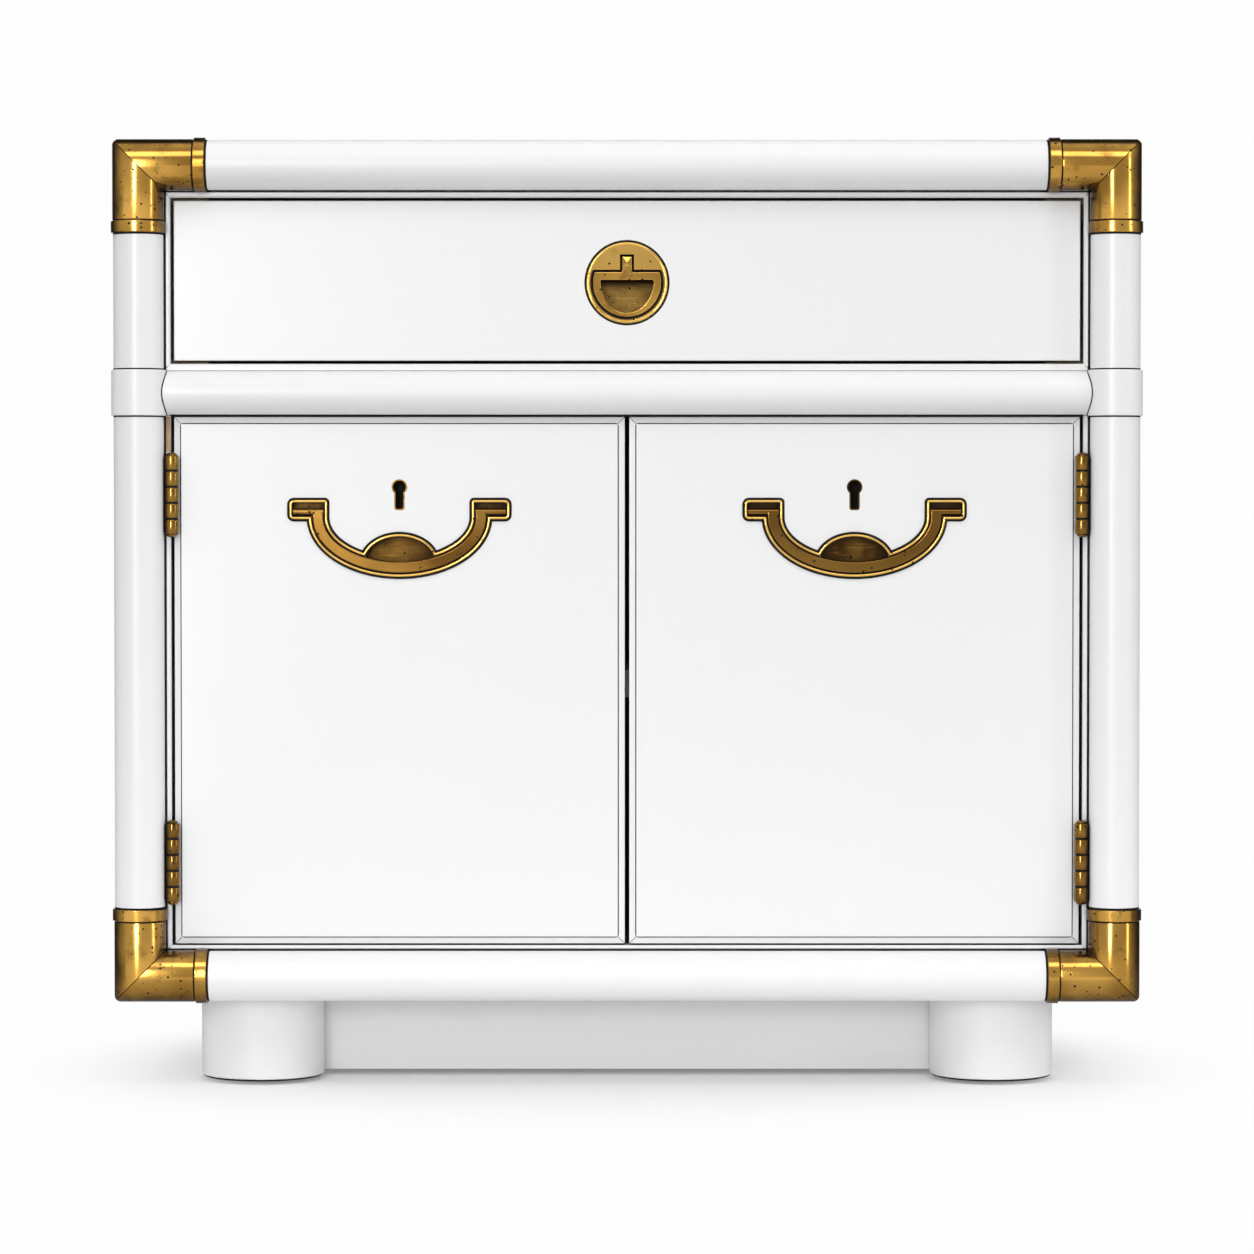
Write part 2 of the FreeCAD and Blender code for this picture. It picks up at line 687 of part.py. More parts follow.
def ring_pull():
    # cup plate, its whole outer form and the ring, about the middle of the cup
    front = front_face - ring_plate_proud
    floor = front + ring_cup_depth
    back = floor + ring_cup_floor
    outer = bar(ring_plate_diameter / 2, Vector(0, front, 0), Vector(0, back, 0))
    outer = rounded(outer, ring_round, lambda b: b.YMax < front + ring_round)
    room_top = ring_top + ring_bar_gap
    room = bar(ring_radius + ring_clearance, Vector(0, front, 0), Vector(0, floor, 0))
    room = room.common(box(-far, far, -far, far, -far, room_top))
    notch_half = ring_tab_half_width + ring_notch_gap
    notch = box(-notch_half, notch_half, front, floor, 0, ring_tab_top + ring_notch_gap)
    pivot = Vector(0, front + ring_thickness / 2, ring_top - ring_bar / 2)
    pin_end = Vector(ring_radius + trunnion_length, 0, 0)
    bore_end = pin_end.add(Vector(trunnion_end_gap, 0, 0))
    bore = bar(trunnion_diameter / 2 + pivot_clearance, pivot.sub(bore_end), pivot.add(bore_end))
    plate = outer.cut([room, notch, bore])
    opening_z = ring_top - ring_bar
    opening_height = ring_radius - ring_foot + opening_z
    opening = oval(0, opening_z, ring_opening_half_width, opening_height, front, front + ring_thickness)
    opening = opening.common(box(-far, far, -far, far, -far, opening_z))
    disc = bar(ring_radius, Vector(0, front, 0), Vector(0, front + ring_thickness, 0))
    disc = disc.common(box(-far, far, -far, far, -far, ring_top))
    tab_half = ring_tab_half_width
    tab = box(-tab_half, tab_half, front, front + ring_thickness, 0, ring_tab_top)
    ring = joined(disc, tab).cut(opening)
    ring = rounded(ring, ring_round, lambda b: b.YMax < front + ring_round)
    side = ring_opening_half_width + ring_round
    pin = bar(trunnion_diameter / 2, pivot.add(Vector(side, 0, 0)), pivot.add(pin_end))
    return outer, plate, joined(ring, pin, mirrored(pin))


def drawer():
    place = Vector(0, 0, ring_z)
    outer, plate, ring = [each.translated(place) for each in ring_pull()]
    half = opening_half - drawer_side_gap
    front = box(-half, half, front_face, front_back, drawer_low, drawer_high)
    front = rounded(front, drawer_edge_round, lambda b: b.YMax < front_face + drawer_edge_round)
    inside = drawer_half - drawer_side_thickness
    side = box(inside, drawer_half, front_back - drawer_housing, drawer_box_back, drawer_low, drawer_box_top)
    groove = inside + drawer_groove
    bottom_y = front_back - drawer_groove
    bottom = box(-groove, groove, bottom_y, drawer_box_back, drawer_bottom_low, drawer_bottom_high)
    back_y = drawer_box_back - drawer_side_thickness
    back = box(-inside, inside, back_y, drawer_box_back, drawer_bottom_high, drawer_box_top)
    save("drawer_front", front.cut([outer, side, mirrored(side), bottom]))
    save_both("drawer_sides", side.cut(bottom))
    save("drawer_bottom", bottom)
    save("drawer_back", back)
    save("drawer_pull_plate", plate)
    save("drawer_ring", ring)


def drawer_guides():
    inner = drawer_half - runner_width
    outside = drawer_half + guide_clearance
    base = box(inner, side_inner, front_back, back_front, divider_top, drawer_low - runner_clearance)
    guide = box(outside, side_inner, front_back, back_front, divider_top, drawer_low + guide_height)
    runner = joined(base, guide)
    save_both("drawer_runners", runner)
    low = drawer_box_top + kicker_clearance
    kicker = box(inner, side_inner, front_back, back_front, low, top_underside)
    save_both("drawer_kickers", kicker)


os.makedirs("parts", exist_ok=True)
front_frame()
case_panels()
mouldings()
hinges()
doors()
drawer()
drawer_guides()
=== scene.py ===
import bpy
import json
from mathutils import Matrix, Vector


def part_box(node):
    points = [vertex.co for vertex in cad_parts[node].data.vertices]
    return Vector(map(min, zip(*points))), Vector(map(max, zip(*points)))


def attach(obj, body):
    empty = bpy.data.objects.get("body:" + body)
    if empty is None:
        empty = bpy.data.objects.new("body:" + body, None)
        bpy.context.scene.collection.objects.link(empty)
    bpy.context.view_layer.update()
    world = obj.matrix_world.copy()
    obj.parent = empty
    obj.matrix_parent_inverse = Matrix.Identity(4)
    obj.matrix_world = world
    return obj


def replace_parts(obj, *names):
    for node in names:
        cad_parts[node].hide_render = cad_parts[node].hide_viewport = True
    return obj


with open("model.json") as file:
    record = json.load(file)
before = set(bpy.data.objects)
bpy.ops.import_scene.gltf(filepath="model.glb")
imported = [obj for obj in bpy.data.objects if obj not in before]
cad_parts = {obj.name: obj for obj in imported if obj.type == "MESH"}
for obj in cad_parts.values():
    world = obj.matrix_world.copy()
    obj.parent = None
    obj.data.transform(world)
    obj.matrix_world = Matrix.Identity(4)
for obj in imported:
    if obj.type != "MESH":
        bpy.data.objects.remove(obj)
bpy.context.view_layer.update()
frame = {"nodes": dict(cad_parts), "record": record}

import json
import math
import bmesh
import bpy
from mathutils import Vector

nodes = frame["nodes"]
scene = bpy.context.scene
print("frame loaded, nodes:", len(nodes))


# node tree helpers
def feed(tree, socket, value):
    if isinstance(value, bpy.types.NodeSocket):
        tree.links.new(value, socket)
    else:
        socket.default_value = value


def makeNode(tree, kind, settings=None, inputs=None):
    node = tree.nodes.new(kind)
    for key, value in (settings or {}).items():
        setattr(node, key, value)
    for key, value in (inputs or {}).items():
        feed(tree, node.inputs[key], value)
    return node


def startMaterial(name):
    material = bpy.data.materials.new(name)
    material.use_nodes = True
    tree = material.node_tree
    shader = next(node for node in tree.nodes if node.type == "BSDF_PRINCIPLED")
    place = makeNode(tree, "ShaderNodeTexCoord").outputs["Object"]
    return material, tree, shader, place


def setShader(tree, shader, looks):
    for key, value in looks.items():
        feed(tree, shader.inputs[key], value)


def noiseOf(tree, place, scale, detail=4.0, rough=0.55):
    inputs = {"Vector": place, "Scale": scale, "Detail": detail, "Roughness": rough}
    return makeNode(tree, "ShaderNodeTexNoise", None, inputs).outputs["Fac"]


def stretched(tree, place, scale):
    return makeNode(tree, "ShaderNodeMapping", None, {"Vector": place, "Scale": scale}).outputs["Vector"]


def axesOf(tree, place):
    return makeNode(tree, "ShaderNodeSeparateXYZ", None, {0: place}).outputs


def rangeOf(tree, value, low, high, outLow=0.0, outHigh=1.0):
    inputs = {"Value": value, "From Min": low, "From Max": high, "To Min": outLow, "To Max": outHigh}
    settings = {"interpolation_type": "SMOOTHSTEP"}
    return makeNode(tree, "ShaderNodeMapRange", settings, inputs).outputs["Result"]


def mixOf(tree, share, first, second):
    node = makeNode(tree, "ShaderNodeMix", {"data_type": "RGBA"}, {0: share, 6: first, 7: second})
    return node.outputs[2]


def mathOf(tree, operation, first, second):
    return makeNode(tree, "ShaderNodeMath", {"operation": operation}, {0: first, 1: second}).outputs[0]


def vectorOf(tree, operation, inputs):
    return makeNode(tree, "ShaderNodeVectorMath", {"operation": operation}, inputs).outputs


def bumpOf(tree, height, strength, distance):
    inputs = {"Height": height, "Strength": strength, "Distance": distance}
    return makeNode(tree, "ShaderNodeBump", None, inputs).outputs["Normal"]


occlusionSamples = 5
midNoise = (0.3, 0.7)  # where most of a noise's values lie


# occlusion turned into a darkening mask; it paints shade into corners, creases and gaps
def creviceOf(tree, reach, low, high):
    settings = {"samples": occlusionSamples}
    occlusion = makeNode(tree, "ShaderNodeAmbientOcclusion", settings, {"Distance": reach}).outputs["AO"]
    return rangeOf(tree, occlusion, low, high, 1.0, 0.0)  # 1 deep in a corner


# white lacquer on the case, rods, doors and drawer front
lacquer = {
    "white": (0.872, 0.873, 0.876, 1),
    "aged": (0.868, 0.868, 0.868, 1),
    # colour of the painted shade in corners and gaps, with some grime
    "grimeAndShade": (0.022, 0.021, 0.020, 1),
    "patch": (9.0, 5.0),
    "agedTurn": (0.35, 0.75),
    "peel": (520.0, 2.0),
    "peelBump": (0.04, 0.0002),
    "creviceReach": 0.004,
    "creviceTurn": (0.21, 0.54),
    "roughness": (0.31, 0.34),
    "specular": 0.36,
}


def lacquerMaterial(name):
    material, tree, shader, place = startMaterial(name)
    patch = noiseOf(tree, place, *lacquer["patch"])
    peel = noiseOf(tree, place, *lacquer["peel"])
    tone = mixOf(tree, rangeOf(tree, patch, *lacquer["agedTurn"]), lacquer["white"], lacquer["aged"])
    # painted shade: occlusion darkens corners, creases and gaps towards that dark colour
    crevice = creviceOf(tree, lacquer["creviceReach"], *lacquer["creviceTurn"])
    setShader(tree, shader, {
        "Base Color": mixOf(tree, crevice, tone, lacquer["grimeAndShade"]),
        "Roughness": rangeOf(tree, patch, *midNoise, *lacquer["roughness"]),
        "Normal": bumpOf(tree, peel, *lacquer["peelBump"]),
        "Specular IOR Level": lacquer["specular"],
    })
    return material


# aged brass on elbows, bands, hinges and pulls
brass = {
    "polished": (0.92, 0.57, 0.145, 1),
    "bright": (0.70, 0.395, 0.080, 1),
    "middle": (0.37, 0.190, 0.028, 1),
    "brown": (0.085, 0.037, 0.006, 1),
    "shadow": (0.022, 0.010, 0.002, 1),
    # also the colour of the painted shade in crevices and gaps
    "pit": (0.010, 0.007, 0.004, 1),
    "patch": (15.0, 2.0, 0.5),
    "patchTurn": (0.38, 0.62),
    "mottle": (70.0, 4.0, 0.6),
    "stainTurn": (0.53, 0.72),
    "stainShare": 0.6,
    "polishSpares": 0.7,  # share of the stains that polish takes away
    "turnedAway": (-0.96, -0.34),
    "turnSpread": (-0.12, 0.12),
    "pitScale": 380.0,
    "pitPick": (0.66, 1.0),
    "pitSize": 0.34,
    "pitEdge": (0.02, -0.05),
    "pitSpread": 0.0014,
    "creviceTurn": (0.32, 0.72),
    "cupReach": 0.022,
    "cupTurn": (0.35, 0.65),
    "cupSpread": 0.3,
    "hairAlong": (0.07, 1.0, 1.0),
    "hairTurn": (0.58, 0.70),
    "hairShare": 0.5,
    "scratch": (800.0, 2.0),
    "scratchAlong": (1.0, 1.0, 0.06),
    "metalTurn": (0.2, 0.9),
    "roughness": (0.12, 0.20),
    "polishSmooths": 0.35,
    "wornRough": 0.07,
    "pitsAndShadeRough": 0.9,
    "patchHeight": 1.5,
    "scratchHeight": 0.02,
    "pitHeight": 0.4,
    "bump": (0.2, 0.0006),
    "specular": 0.2,
    "coat": 0.16,
    "coatRoughness": 0.09,
}

# inside of a pull: depths (y) between which it turns brown by the share stain, how far painted shade darkens it
# there, and the heights (z) between which a painted shadow darkens it below the ring's bar
doorCup = {"deep": (-0.1875, -0.1850), "stain": 1.0, "shade": (0.30, 0.95), "under": None}
ringCup = {"deep": (-0.1865, -0.1840), "stain": 0.70, "shade": (0.14, 0.62), "under": (0.5115, 0.5188)}


# pits of uneven outline, in some of the cells only
def pitsOf(tree, place):
    uneven = makeNode(tree, "ShaderNodeTexNoise", None, {"Vector": place, "Scale": 2 * brass["pitScale"]})
    shift = vectorOf(tree, "SCALE", {0: uneven.outputs["Color"], "Scale": brass["pitSpread"]})[0]
    moved = vectorOf(tree, "ADD", {0: place, 1: shift})[0]
    inputs = {"Vector": moved, "Scale": brass["pitScale"]}
    cells = makeNode(tree, "ShaderNodeTexVoronoi", None, inputs).outputs
    chosen = makeNode(tree, "ShaderNodeSeparateColor", None, {"Color": cells["Color"]}).outputs[0]
    size = rangeOf(tree, chosen, *brass["pitPick"], 0.0, brass["pitSize"])
    return rangeOf(tree, mathOf(tree, "SUBTRACT", cells["Distance"], size), *brass["pitEdge"])


# dull is the share of brown, polish the share of bright, reach how far the painted shade in corners reaches,
# and sides the share of brown on faces turned away from the front: painted darkening of the edges seen from the
# front
def brassMaterial(name, dull=0.0, polish=0.0, reach=0.014, sides=0.0, cup=None):
    material, tree, shader, place = startMaterial(name)
    patch = noiseOf(tree, place, *brass["patch"])
    mottle = noiseOf(tree, place, *brass["mottle"])
    gold = mixOf(tree, rangeOf(tree, patch, *brass["patchTurn"]), brass["middle"], brass["bright"])
    gold = mixOf(tree, polish, gold, brass["polished"])
    stained = brass["stainShare"] * (1.0 - brass["polishSpares"] * polish)
    wearAndEdgeShade = rangeOf(tree, mottle, *brass["stainTurn"], 0.0, stained)
    wearAndEdgeShade = mathOf(tree, "MAXIMUM", wearAndEdgeShade, dull)
    # painted darkening towards the edges as seen from the front, given as brown
    if sides:
        normal = makeNode(tree, "ShaderNodeTexCoord").outputs["Normal"]
        spread = rangeOf(tree, mottle, *midNoise, *brass["turnSpread"])
        facing = mathOf(tree, "ADD", axesOf(tree, normal)["Y"], spread)
        wearAndEdgeShade = mathOf(tree, "MAXIMUM", wearAndEdgeShade, rangeOf(tree, facing, *brass["turnedAway"], 0.0, sides))
    pit = pitsOf(tree, place)
    # pits, and painted shade where occlusion finds corners and gaps
    pitsAndShade = mathOf(tree, "MAXIMUM", pit, creviceOf(tree, reach, *brass["creviceTurn"]))
    if cup:
        axes = axesOf(tree, place)
        inside = rangeOf(tree, axes["Y"], *cup["deep"])
        tarnish = rangeOf(tree, mottle, *brass["cupTurn"], cup["stain"] - brass["cupSpread"], cup["stain"])
        wearAndEdgeShade = mathOf(tree, "MAXIMUM", wearAndEdgeShade, mathOf(tree, "MULTIPLY", inside, tarnish))
        # painted shade deep in the cup, and painted shadow below the ring's bar
        shadow = creviceOf(tree, brass["cupReach"], *cup["shade"])
        if cup["under"]:
            shadow = mathOf(tree, "MAXIMUM", shadow, rangeOf(tree, axes["Z"], *cup["under"]))
        shadow = mathOf(tree, "MULTIPLY", inside, shadow)
        hair = noiseOf(tree, stretched(tree, place, brass["hairAlong"]), *brass["scratch"])
        hair = rangeOf(tree, hair, *brass["hairTurn"], 0.0, brass["hairShare"])
        wearAndEdgeShade = mathOf(tree, "SUBTRACT", wearAndEdgeShade, mathOf(tree, "MULTIPLY", inside, hair))
    gold = mixOf(tree, wearAndEdgeShade, gold, brass["brown"])
    if cup:
        gold = mixOf(tree, shadow, gold, brass["shadow"])
    smooth, coarse = (value * (1.0 - brass["polishSmooths"] * polish) for value in brass["roughness"])
    rough = rangeOf(tree, patch, *midNoise, smooth, coarse)
    rough = mathOf(tree, "ADD", rough, mathOf(tree, "MULTIPLY", wearAndEdgeShade, brass["wornRough"]))
    scratch = noiseOf(tree, stretched(tree, place, brass["scratchAlong"]), *brass["scratch"])
    scratch = mathOf(tree, "MULTIPLY", scratch, brass["scratchHeight"])
    height = mathOf(tree, "ADD", mathOf(tree, "MULTIPLY", patch, brass["patchHeight"]), scratch)
    height = mathOf(tree, "SUBTRACT", height, mathOf(tree, "MULTIPLY", pit, brass["pitHeight"]))
    setShader(tree, shader, {
        "Base Color": mixOf(tree, pitsAndShade, gold, brass["pit"]),
        "Metallic": rangeOf(tree, pitsAndShade, *brass["metalTurn"], 1.0, 0.0),
        "Roughness": mathOf(tree, "MAXIMUM", rough, mathOf(tree, "MULTIPLY", pitsAndShade, brass["pitsAndShadeRough"])),
        "Normal": bumpOf(tree, height, *brass["bump"]),
        "Specular IOR Level": brass["specular"],
        "Coat Weight": brass["coat"],
        "Coat Roughness": brass["coatRoughness"],
    })
    return material


# dark colour of seams, gaps, outlines and foot edges: painted shade, with grime in the seams; and the softer
# painted shade along the doors' fields
grimeAndShade = {
    "dark": (0.010, 0.009, 0.008, 1),
    "dusty": (0.030, 0.027, 0.023, 1),
    "dust": (240.0, 4.0),
    "dustTurn": (0.4, 0.7),
    "roughness": (0.6, 0.85),
    "specular": 0.1,
}
fieldShade = {**grimeAndShade, "dark": (0.032, 0.032, 0.032, 1), "dusty": (0.062, 0.062, 0.062, 1)}


def shadeAndGrimeMaterial(name, look):
    material, tree, shader, place = startMaterial(name)
    dust = noiseOf(tree, place, *look["dust"])
    setShader(tree, shader, {
        "Base Color": mixOf(tree, rangeOf(tree, dust, *look["dustTurn"]), look["dark"], look["dusty"]),
        "Roughness": rangeOf(tree, dust, *midNoise, *look["roughness"]),
        "Specular IOR Level": look["specular"],
    })
    return material


# bare wood of the drawer box, runners and back; streaks and pores are so many times finer than the rings
drawerWood = {
    "light": (0.56, 0.37, 0.20, 1),
    "dark": (0.36, 0.21, 0.10, 1),
    "along": (1.0, 0.06, 1.0),
    "rings": 46.0,
    "ringDetail": (6.0, 0.6),
    "ringTurn": (0.34, 0.66),
    "streaksFiner": 5.0,
    "streakDetail": (4.0, 0.65),
    "streakTurn": (0.50, 0.68, 0.0, 0.45),
    "poresFiner": 14.0,
    "poreDetail": 3.0,
    "poreTurn": (0.56, 0.70, 0.0, 0.6),
    "roughTurn": (0.2, 0.8, 0.52, 0.72),
    "bump": (0.25, 0.0003),
}
drawerBackWood = {**drawerWood, "along": (0.06, 1.0, 1.0)}
backBoard = {
    **drawerWood,
    "light": (0.44, 0.30, 0.175, 1),
    "dark": (0.26, 0.16, 0.085, 1),
    "along": (1.0, 1.0, 0.03),
    "rings": 34.0,
}


def woodMaterial(name, look):
    material, tree, shader, place = startMaterial(name)
    grainPlace = stretched(tree, place, look["along"])
    ring = noiseOf(tree, grainPlace, look["rings"], *look["ringDetail"])
    pore = noiseOf(tree, grainPlace, look["rings"] * look["poresFiner"], look["poreDetail"])
    streak = noiseOf(tree, grainPlace, look["rings"] * look["streaksFiner"], *look["streakDetail"])
    tone = mixOf(tree, rangeOf(tree, ring, *look["ringTurn"]), look["light"], look["dark"])
    tone = mixOf(tree, rangeOf(tree, streak, *look["streakTurn"]), tone, look["dark"])
    tone = mixOf(tree, rangeOf(tree, pore, *look["poreTurn"]), tone, look["dark"])
    setShader(tree, shader, {
        "Base Color": tone,
        "Roughness": rangeOf(tree, pore, *look["roughTurn"]),
        "Normal": bumpOf(tree, pore, *look["bump"]),
    })
    return material


# plated steel and the two plastics
steel = {
    "clear": (0.58, 0.58, 0.60, 1),
    "dull": (0.36, 0.36, 0.37, 1),
    "metallic": 1.0,
    "roughness": (0.25, 0.5),
    "speck": (300.0, 4.0),
    "dullTurn": (0.4, 0.7),
    "bump": (0.1, 0.0002),
}
catchPlastic = {
    **steel,
    "clear": (0.78, 0.77, 0.73, 1),
    "dull": (0.68, 0.66, 0.61, 1),
    "metallic": 0.0,
    "roughness": (0.4, 0.6),
}
glidePlastic = {
    **steel,
    "clear": (0.030, 0.030, 0.032, 1),
    "dull": (0.075, 0.072, 0.07, 1),
    "metallic": 0.0,
    "roughness": (0.4, 0.7),
}


def smallPartMaterial(name, look):
    material, tree, shader, place = startMaterial(name)
    speck = noiseOf(tree, place, *look["speck"])
    setShader(tree, shader, {
        "Base Color": mixOf(tree, rangeOf(tree, speck, *look["dullTurn"]), look["clear"], look["dull"]),
        "Roughness": rangeOf(tree, speck, *midNoise, *look["roughness"]),
        "Normal": bumpOf(tree, speck, *look["bump"]),
        "Metallic": look["metallic"],
    })
    return material


finishes = {
    "white_lacquer": lacquerMaterial("whiteLacquer"),
    "brass": brassMaterial("agedBrass", sides=0.84),
    "drawer_wood": woodMaterial("drawerWood", drawerWood),
    "back_board": woodMaterial("backBoard", backBoard),
    "steel": smallPartMaterial("platedSteel", steel),
    "catch_plastic": smallPartMaterial("catchPlastic", catchPlastic),
    "glide_plastic": smallPartMaterial("glidePlastic", glidePlastic),
    "drawerBack": woodMaterial("drawerBackWood", drawerBackWood),
    "hinge": brassMaterial("hingeBrass", dull=0.70, reach=0.012),
    "bail": brassMaterial("bailBrass", dull=0.74, reach=0.004),
    "bead": brassMaterial("beadBrass", polish=0.9, reach=0.002),
    "ring": brassMaterial("ringBrass", dull=0.12, polish=0.25, reach=0.006),
    "pullCup": brassMaterial("pullCupBrass", dull=0.1, reach=0.004, cup=doorCup),
    "ringPlate": brassMaterial("ringPlateBrass", polish=0.85, reach=0.004, cup=ringCup),
    "grimeAndShade": shadeAndGrimeMaterial("seamShadeAndGrime", grimeAndShade),
    "shade": shadeAndGrimeMaterial("fieldShade", fieldShade),
}


# nodes whose finish differs from their slot's
ownFinish = {
    "drawer_back": "drawerBack",
    "drawer_pull_plate": "ringPlate",
    "left_door_pull_plate": "pullCup",
    "right_door_pull_plate": "pullCup",
    "left_door_bail": "bail",
    "right_door_bail": "bail",
    "left_keyhole_liner": "hinge",
    "right_keyhole_liner": "hinge",
}


def finishNodes():
    for entry in frame["record"]["subparts"]:
        mesh = nodes[entry["node"]].data
        mesh.materials.clear()
        mesh.materials.append(finishes[ownFinish.get(entry["node"], entry["material_slot"])])


finishNodes()
print("finishes set on", len(nodes), "nodes")


# mesh helpers, in metres in the shared frame
mm = 0.001
meshLook = {"weld": 0.004 * mm, "sharp": 30.0, "mitreLimit": 0.5, "wholeTurn": math.pi - 0.001}
upward = (0, 0, 1)


class MeshMaker:
    def __init__(self):
        self.points = []
        self.faces = []

    # rows of points joined by four-sided faces
    def grid(self, rows, closedRows=False, closedColumns=False):
        start = len(self.points)
        width = len(rows[0])
        for row in rows:
            self.points.extend(row)
        for i in range(len(rows) if closedRows else len(rows) - 1):
            near = start + i * width
            far = start + ((i + 1) % len(rows)) * width
            for j in range(width if closedColumns else width - 1):
                k = (j + 1) % width
                self.faces.append((near + j, near + k, far + k, far + j))

    def face(self, corners):
        start = len(self.points)
        self.points.extend(corners)
        self.faces.append(tuple(range(start, len(self.points))))

    # profile of (radius, along) pairs turned about an axis, with angle 0 at the front
    def turned(self, profile, centre, axis, reach=math.pi, count=64):
        axis = Vector(axis)
        side = axis.cross(front)
        whole = reach > meshLook["wholeTurn"]
        rows = []
        for i in range(count if whole else count + 1):
            angle = reach * (2 * i / count - 1)
            out = front * math.cos(angle) + side * math.sin(angle)
            rows.append([Vector(centre) + axis * along + out * radius for radius, along in profile])
        self.grid(rows, closedRows=whole)

    # profile of (aside, lift) pairs carried along a path of (x, z) points at the depth y
    def swept(self, path, profile, y, closed=True):
        rows = []
        last = len(path) - 1
        for i, here in enumerate(path):
            before = path[i - 1] if i or closed else here
            after = path[(i + 1) % len(path)] if i < last or closed else here
            arriving = Vector(here) - Vector(before)
            leaving = Vector(after) - Vector(here)
            arriving = (arriving if arriving.length else leaving).normalized()
            leaving = leaving.normalized() if leaving.length else arriving
            way = (arriving + leaving).normalized()
            aside = Vector((-way.y, way.x)) / max(meshLook["mitreLimit"], way.dot(leaving))
            rows.append([(here[0] + aside.x * d, y - lift, here[1] + aside.y * d) for d, lift in profile])
        self.grid(rows, closedRows=closed)

    # thin round thread through points in space
    def thread(self, points, radius, count=6):
        rows = []
        angles = [2 * math.pi * k / count for k in range(count)]
        for i, point in enumerate(points):
            way = (points[min(i + 1, len(points) - 1)] - points[max(i - 1, 0)]).normalized()
            first = way.cross(Vector((1, 0, 0))).normalized()
            second = way.cross(first)
            rows.append([point + (first * math.cos(a) + second * math.sin(a)) * radius for a in angles])
        self.grid(rows, closedColumns=True)

    def piece(self, name, body, slotName, material, sharp=meshLook["sharp"]):
        mesh = bpy.data.meshes.new(name)
        mesh.from_pydata(self.points, [], self.faces)
        fixer = bmesh.new()
        fixer.from_mesh(mesh)
        bmesh.ops.remove_doubles(fixer, verts=fixer.verts, dist=meshLook["weld"])
        bmesh.ops.recalc_face_normals(fixer, faces=fixer.faces)
        fixer.to_mesh(mesh)
        fixer.free()
        return placeMesh(name, mesh, body, material, sharp)


def placeMesh(name, mesh, body, material, sharp=meshLook["sharp"]):
    mesh.shade_smooth()
    mesh.set_sharp_from_angle(angle=math.radians(sharp))
    mesh.materials.clear()
    mesh.materials.append(material)
    piece = bpy.data.objects.new(name, mesh)
    scene.collection.objects.link(piece)
    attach(piece, body)
    return piece


def arcPath(cx, cz, rx, rz, start, end, count):
    steps = [math.radians(start + (end - start) * i / count) for i in range(count + 1)]
    return [(cx + rx * math.cos(a), cz + rz * math.sin(a)) for a in steps]


# closed path whose corners, given as (x, z, radius), are rounded
def softPath(corners, count=6):
    path = []
    for i, (x, z, radius) in enumerate(corners):
        here = Vector((x, z))
        before = Vector(corners[i - 1][:2]) - here
        after = Vector(corners[(i + 1) % len(corners)][:2]) - here
        if not radius:
            path.append((x, z))
            continue
        reach = min(radius / math.tan(before.angle(after) / 2), before.length / 2, after.length / 2)
        first, last = here + before.normalized() * reach, here + after.normalized() * reach
        for k in range(count + 1):
            t = k / count
            path.append(tuple(first * (1 - t) ** 2 + here * 2 * t * (1 - t) + last * t ** 2))
    return path


# points of a path that keep their corners
def plainCorners(path):
    return [(x, z, 0) for x, z in path]


def moved(path, cx, cz):
    return [(cx + x, cz + z) for x, z in path]


# half-round bead as (aside, lift) pairs
def beadProfile(half, height, count=8):
    steps = [math.pi * i / count for i in range(count + 1)]
    return [(-half * math.cos(a), height * math.sin(a)) for a in steps]


# front frame places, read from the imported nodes
rod = {
    "radius": 16 * mm,
    "bandProud": 1.5 * mm,
    "elbowProud": 0.5 * mm,
    "elbowLeg": 36 * mm,
    "bandWidth": 7.5 * mm,
}
bandRadius = rod["radius"] + rod["bandProud"]
elbowRadius = rod["radius"] + rod["elbowProud"]
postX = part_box("post_bands")[1].x - bandRadius
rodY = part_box("post_bands")[0].y + bandRadius
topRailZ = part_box("top_front_rail")[1].z - rod["radius"]
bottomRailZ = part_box("bottom_front_rail")[0].z + rod["radius"]
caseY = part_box("bottom_front_rail")[1].y
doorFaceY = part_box("drawer_front")[0].y
drawerOpening = {
    "x": 292.6 * mm,
    "low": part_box("drawer_bottom_moulding")[1].z,
    "high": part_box("drawer_top_moulding")[0].z,
}
front = Vector((0, -1, 0))
corners = {
    "leftTop": (-1, 1, "left_top_brass_elbow"),
    "rightTop": (1, 1, "right_top_brass_elbow"),
    "leftBottom": (-1, -1, "left_bottom_brass_elbow"),
    "rightBottom": (1, -1, "right_bottom_brass_elbow"),
}


# angle from the front at which a rod of this radius runs into the case
def caseAngle(radius):
    return math.acos((rodY - caseY) / radius)


def cornerOf(side, up):
    place = Vector((side * postX, rodY, topRailZ if up > 0 else bottomRailZ))
    return place, Vector((-side, 0, 0)), Vector((0, 0, -up))


# brass elbow of two mitred legs, with a fine groove at the mitre and a clipped corner; its legs' ends fall by
# these steps (down, back) in shares of endRound
elbow = {
    "clip": 3.8 * mm,
    "groove": 0.45 * mm,
    "grooveWidth": 0.4 * mm,
    "endRound": 0.8 * mm,
    "endSteps": ((0, 1.6), (0.15, 1.1), (0.9, 0.6)),
    "steps": 90,
    "sharp": 25.0,
}


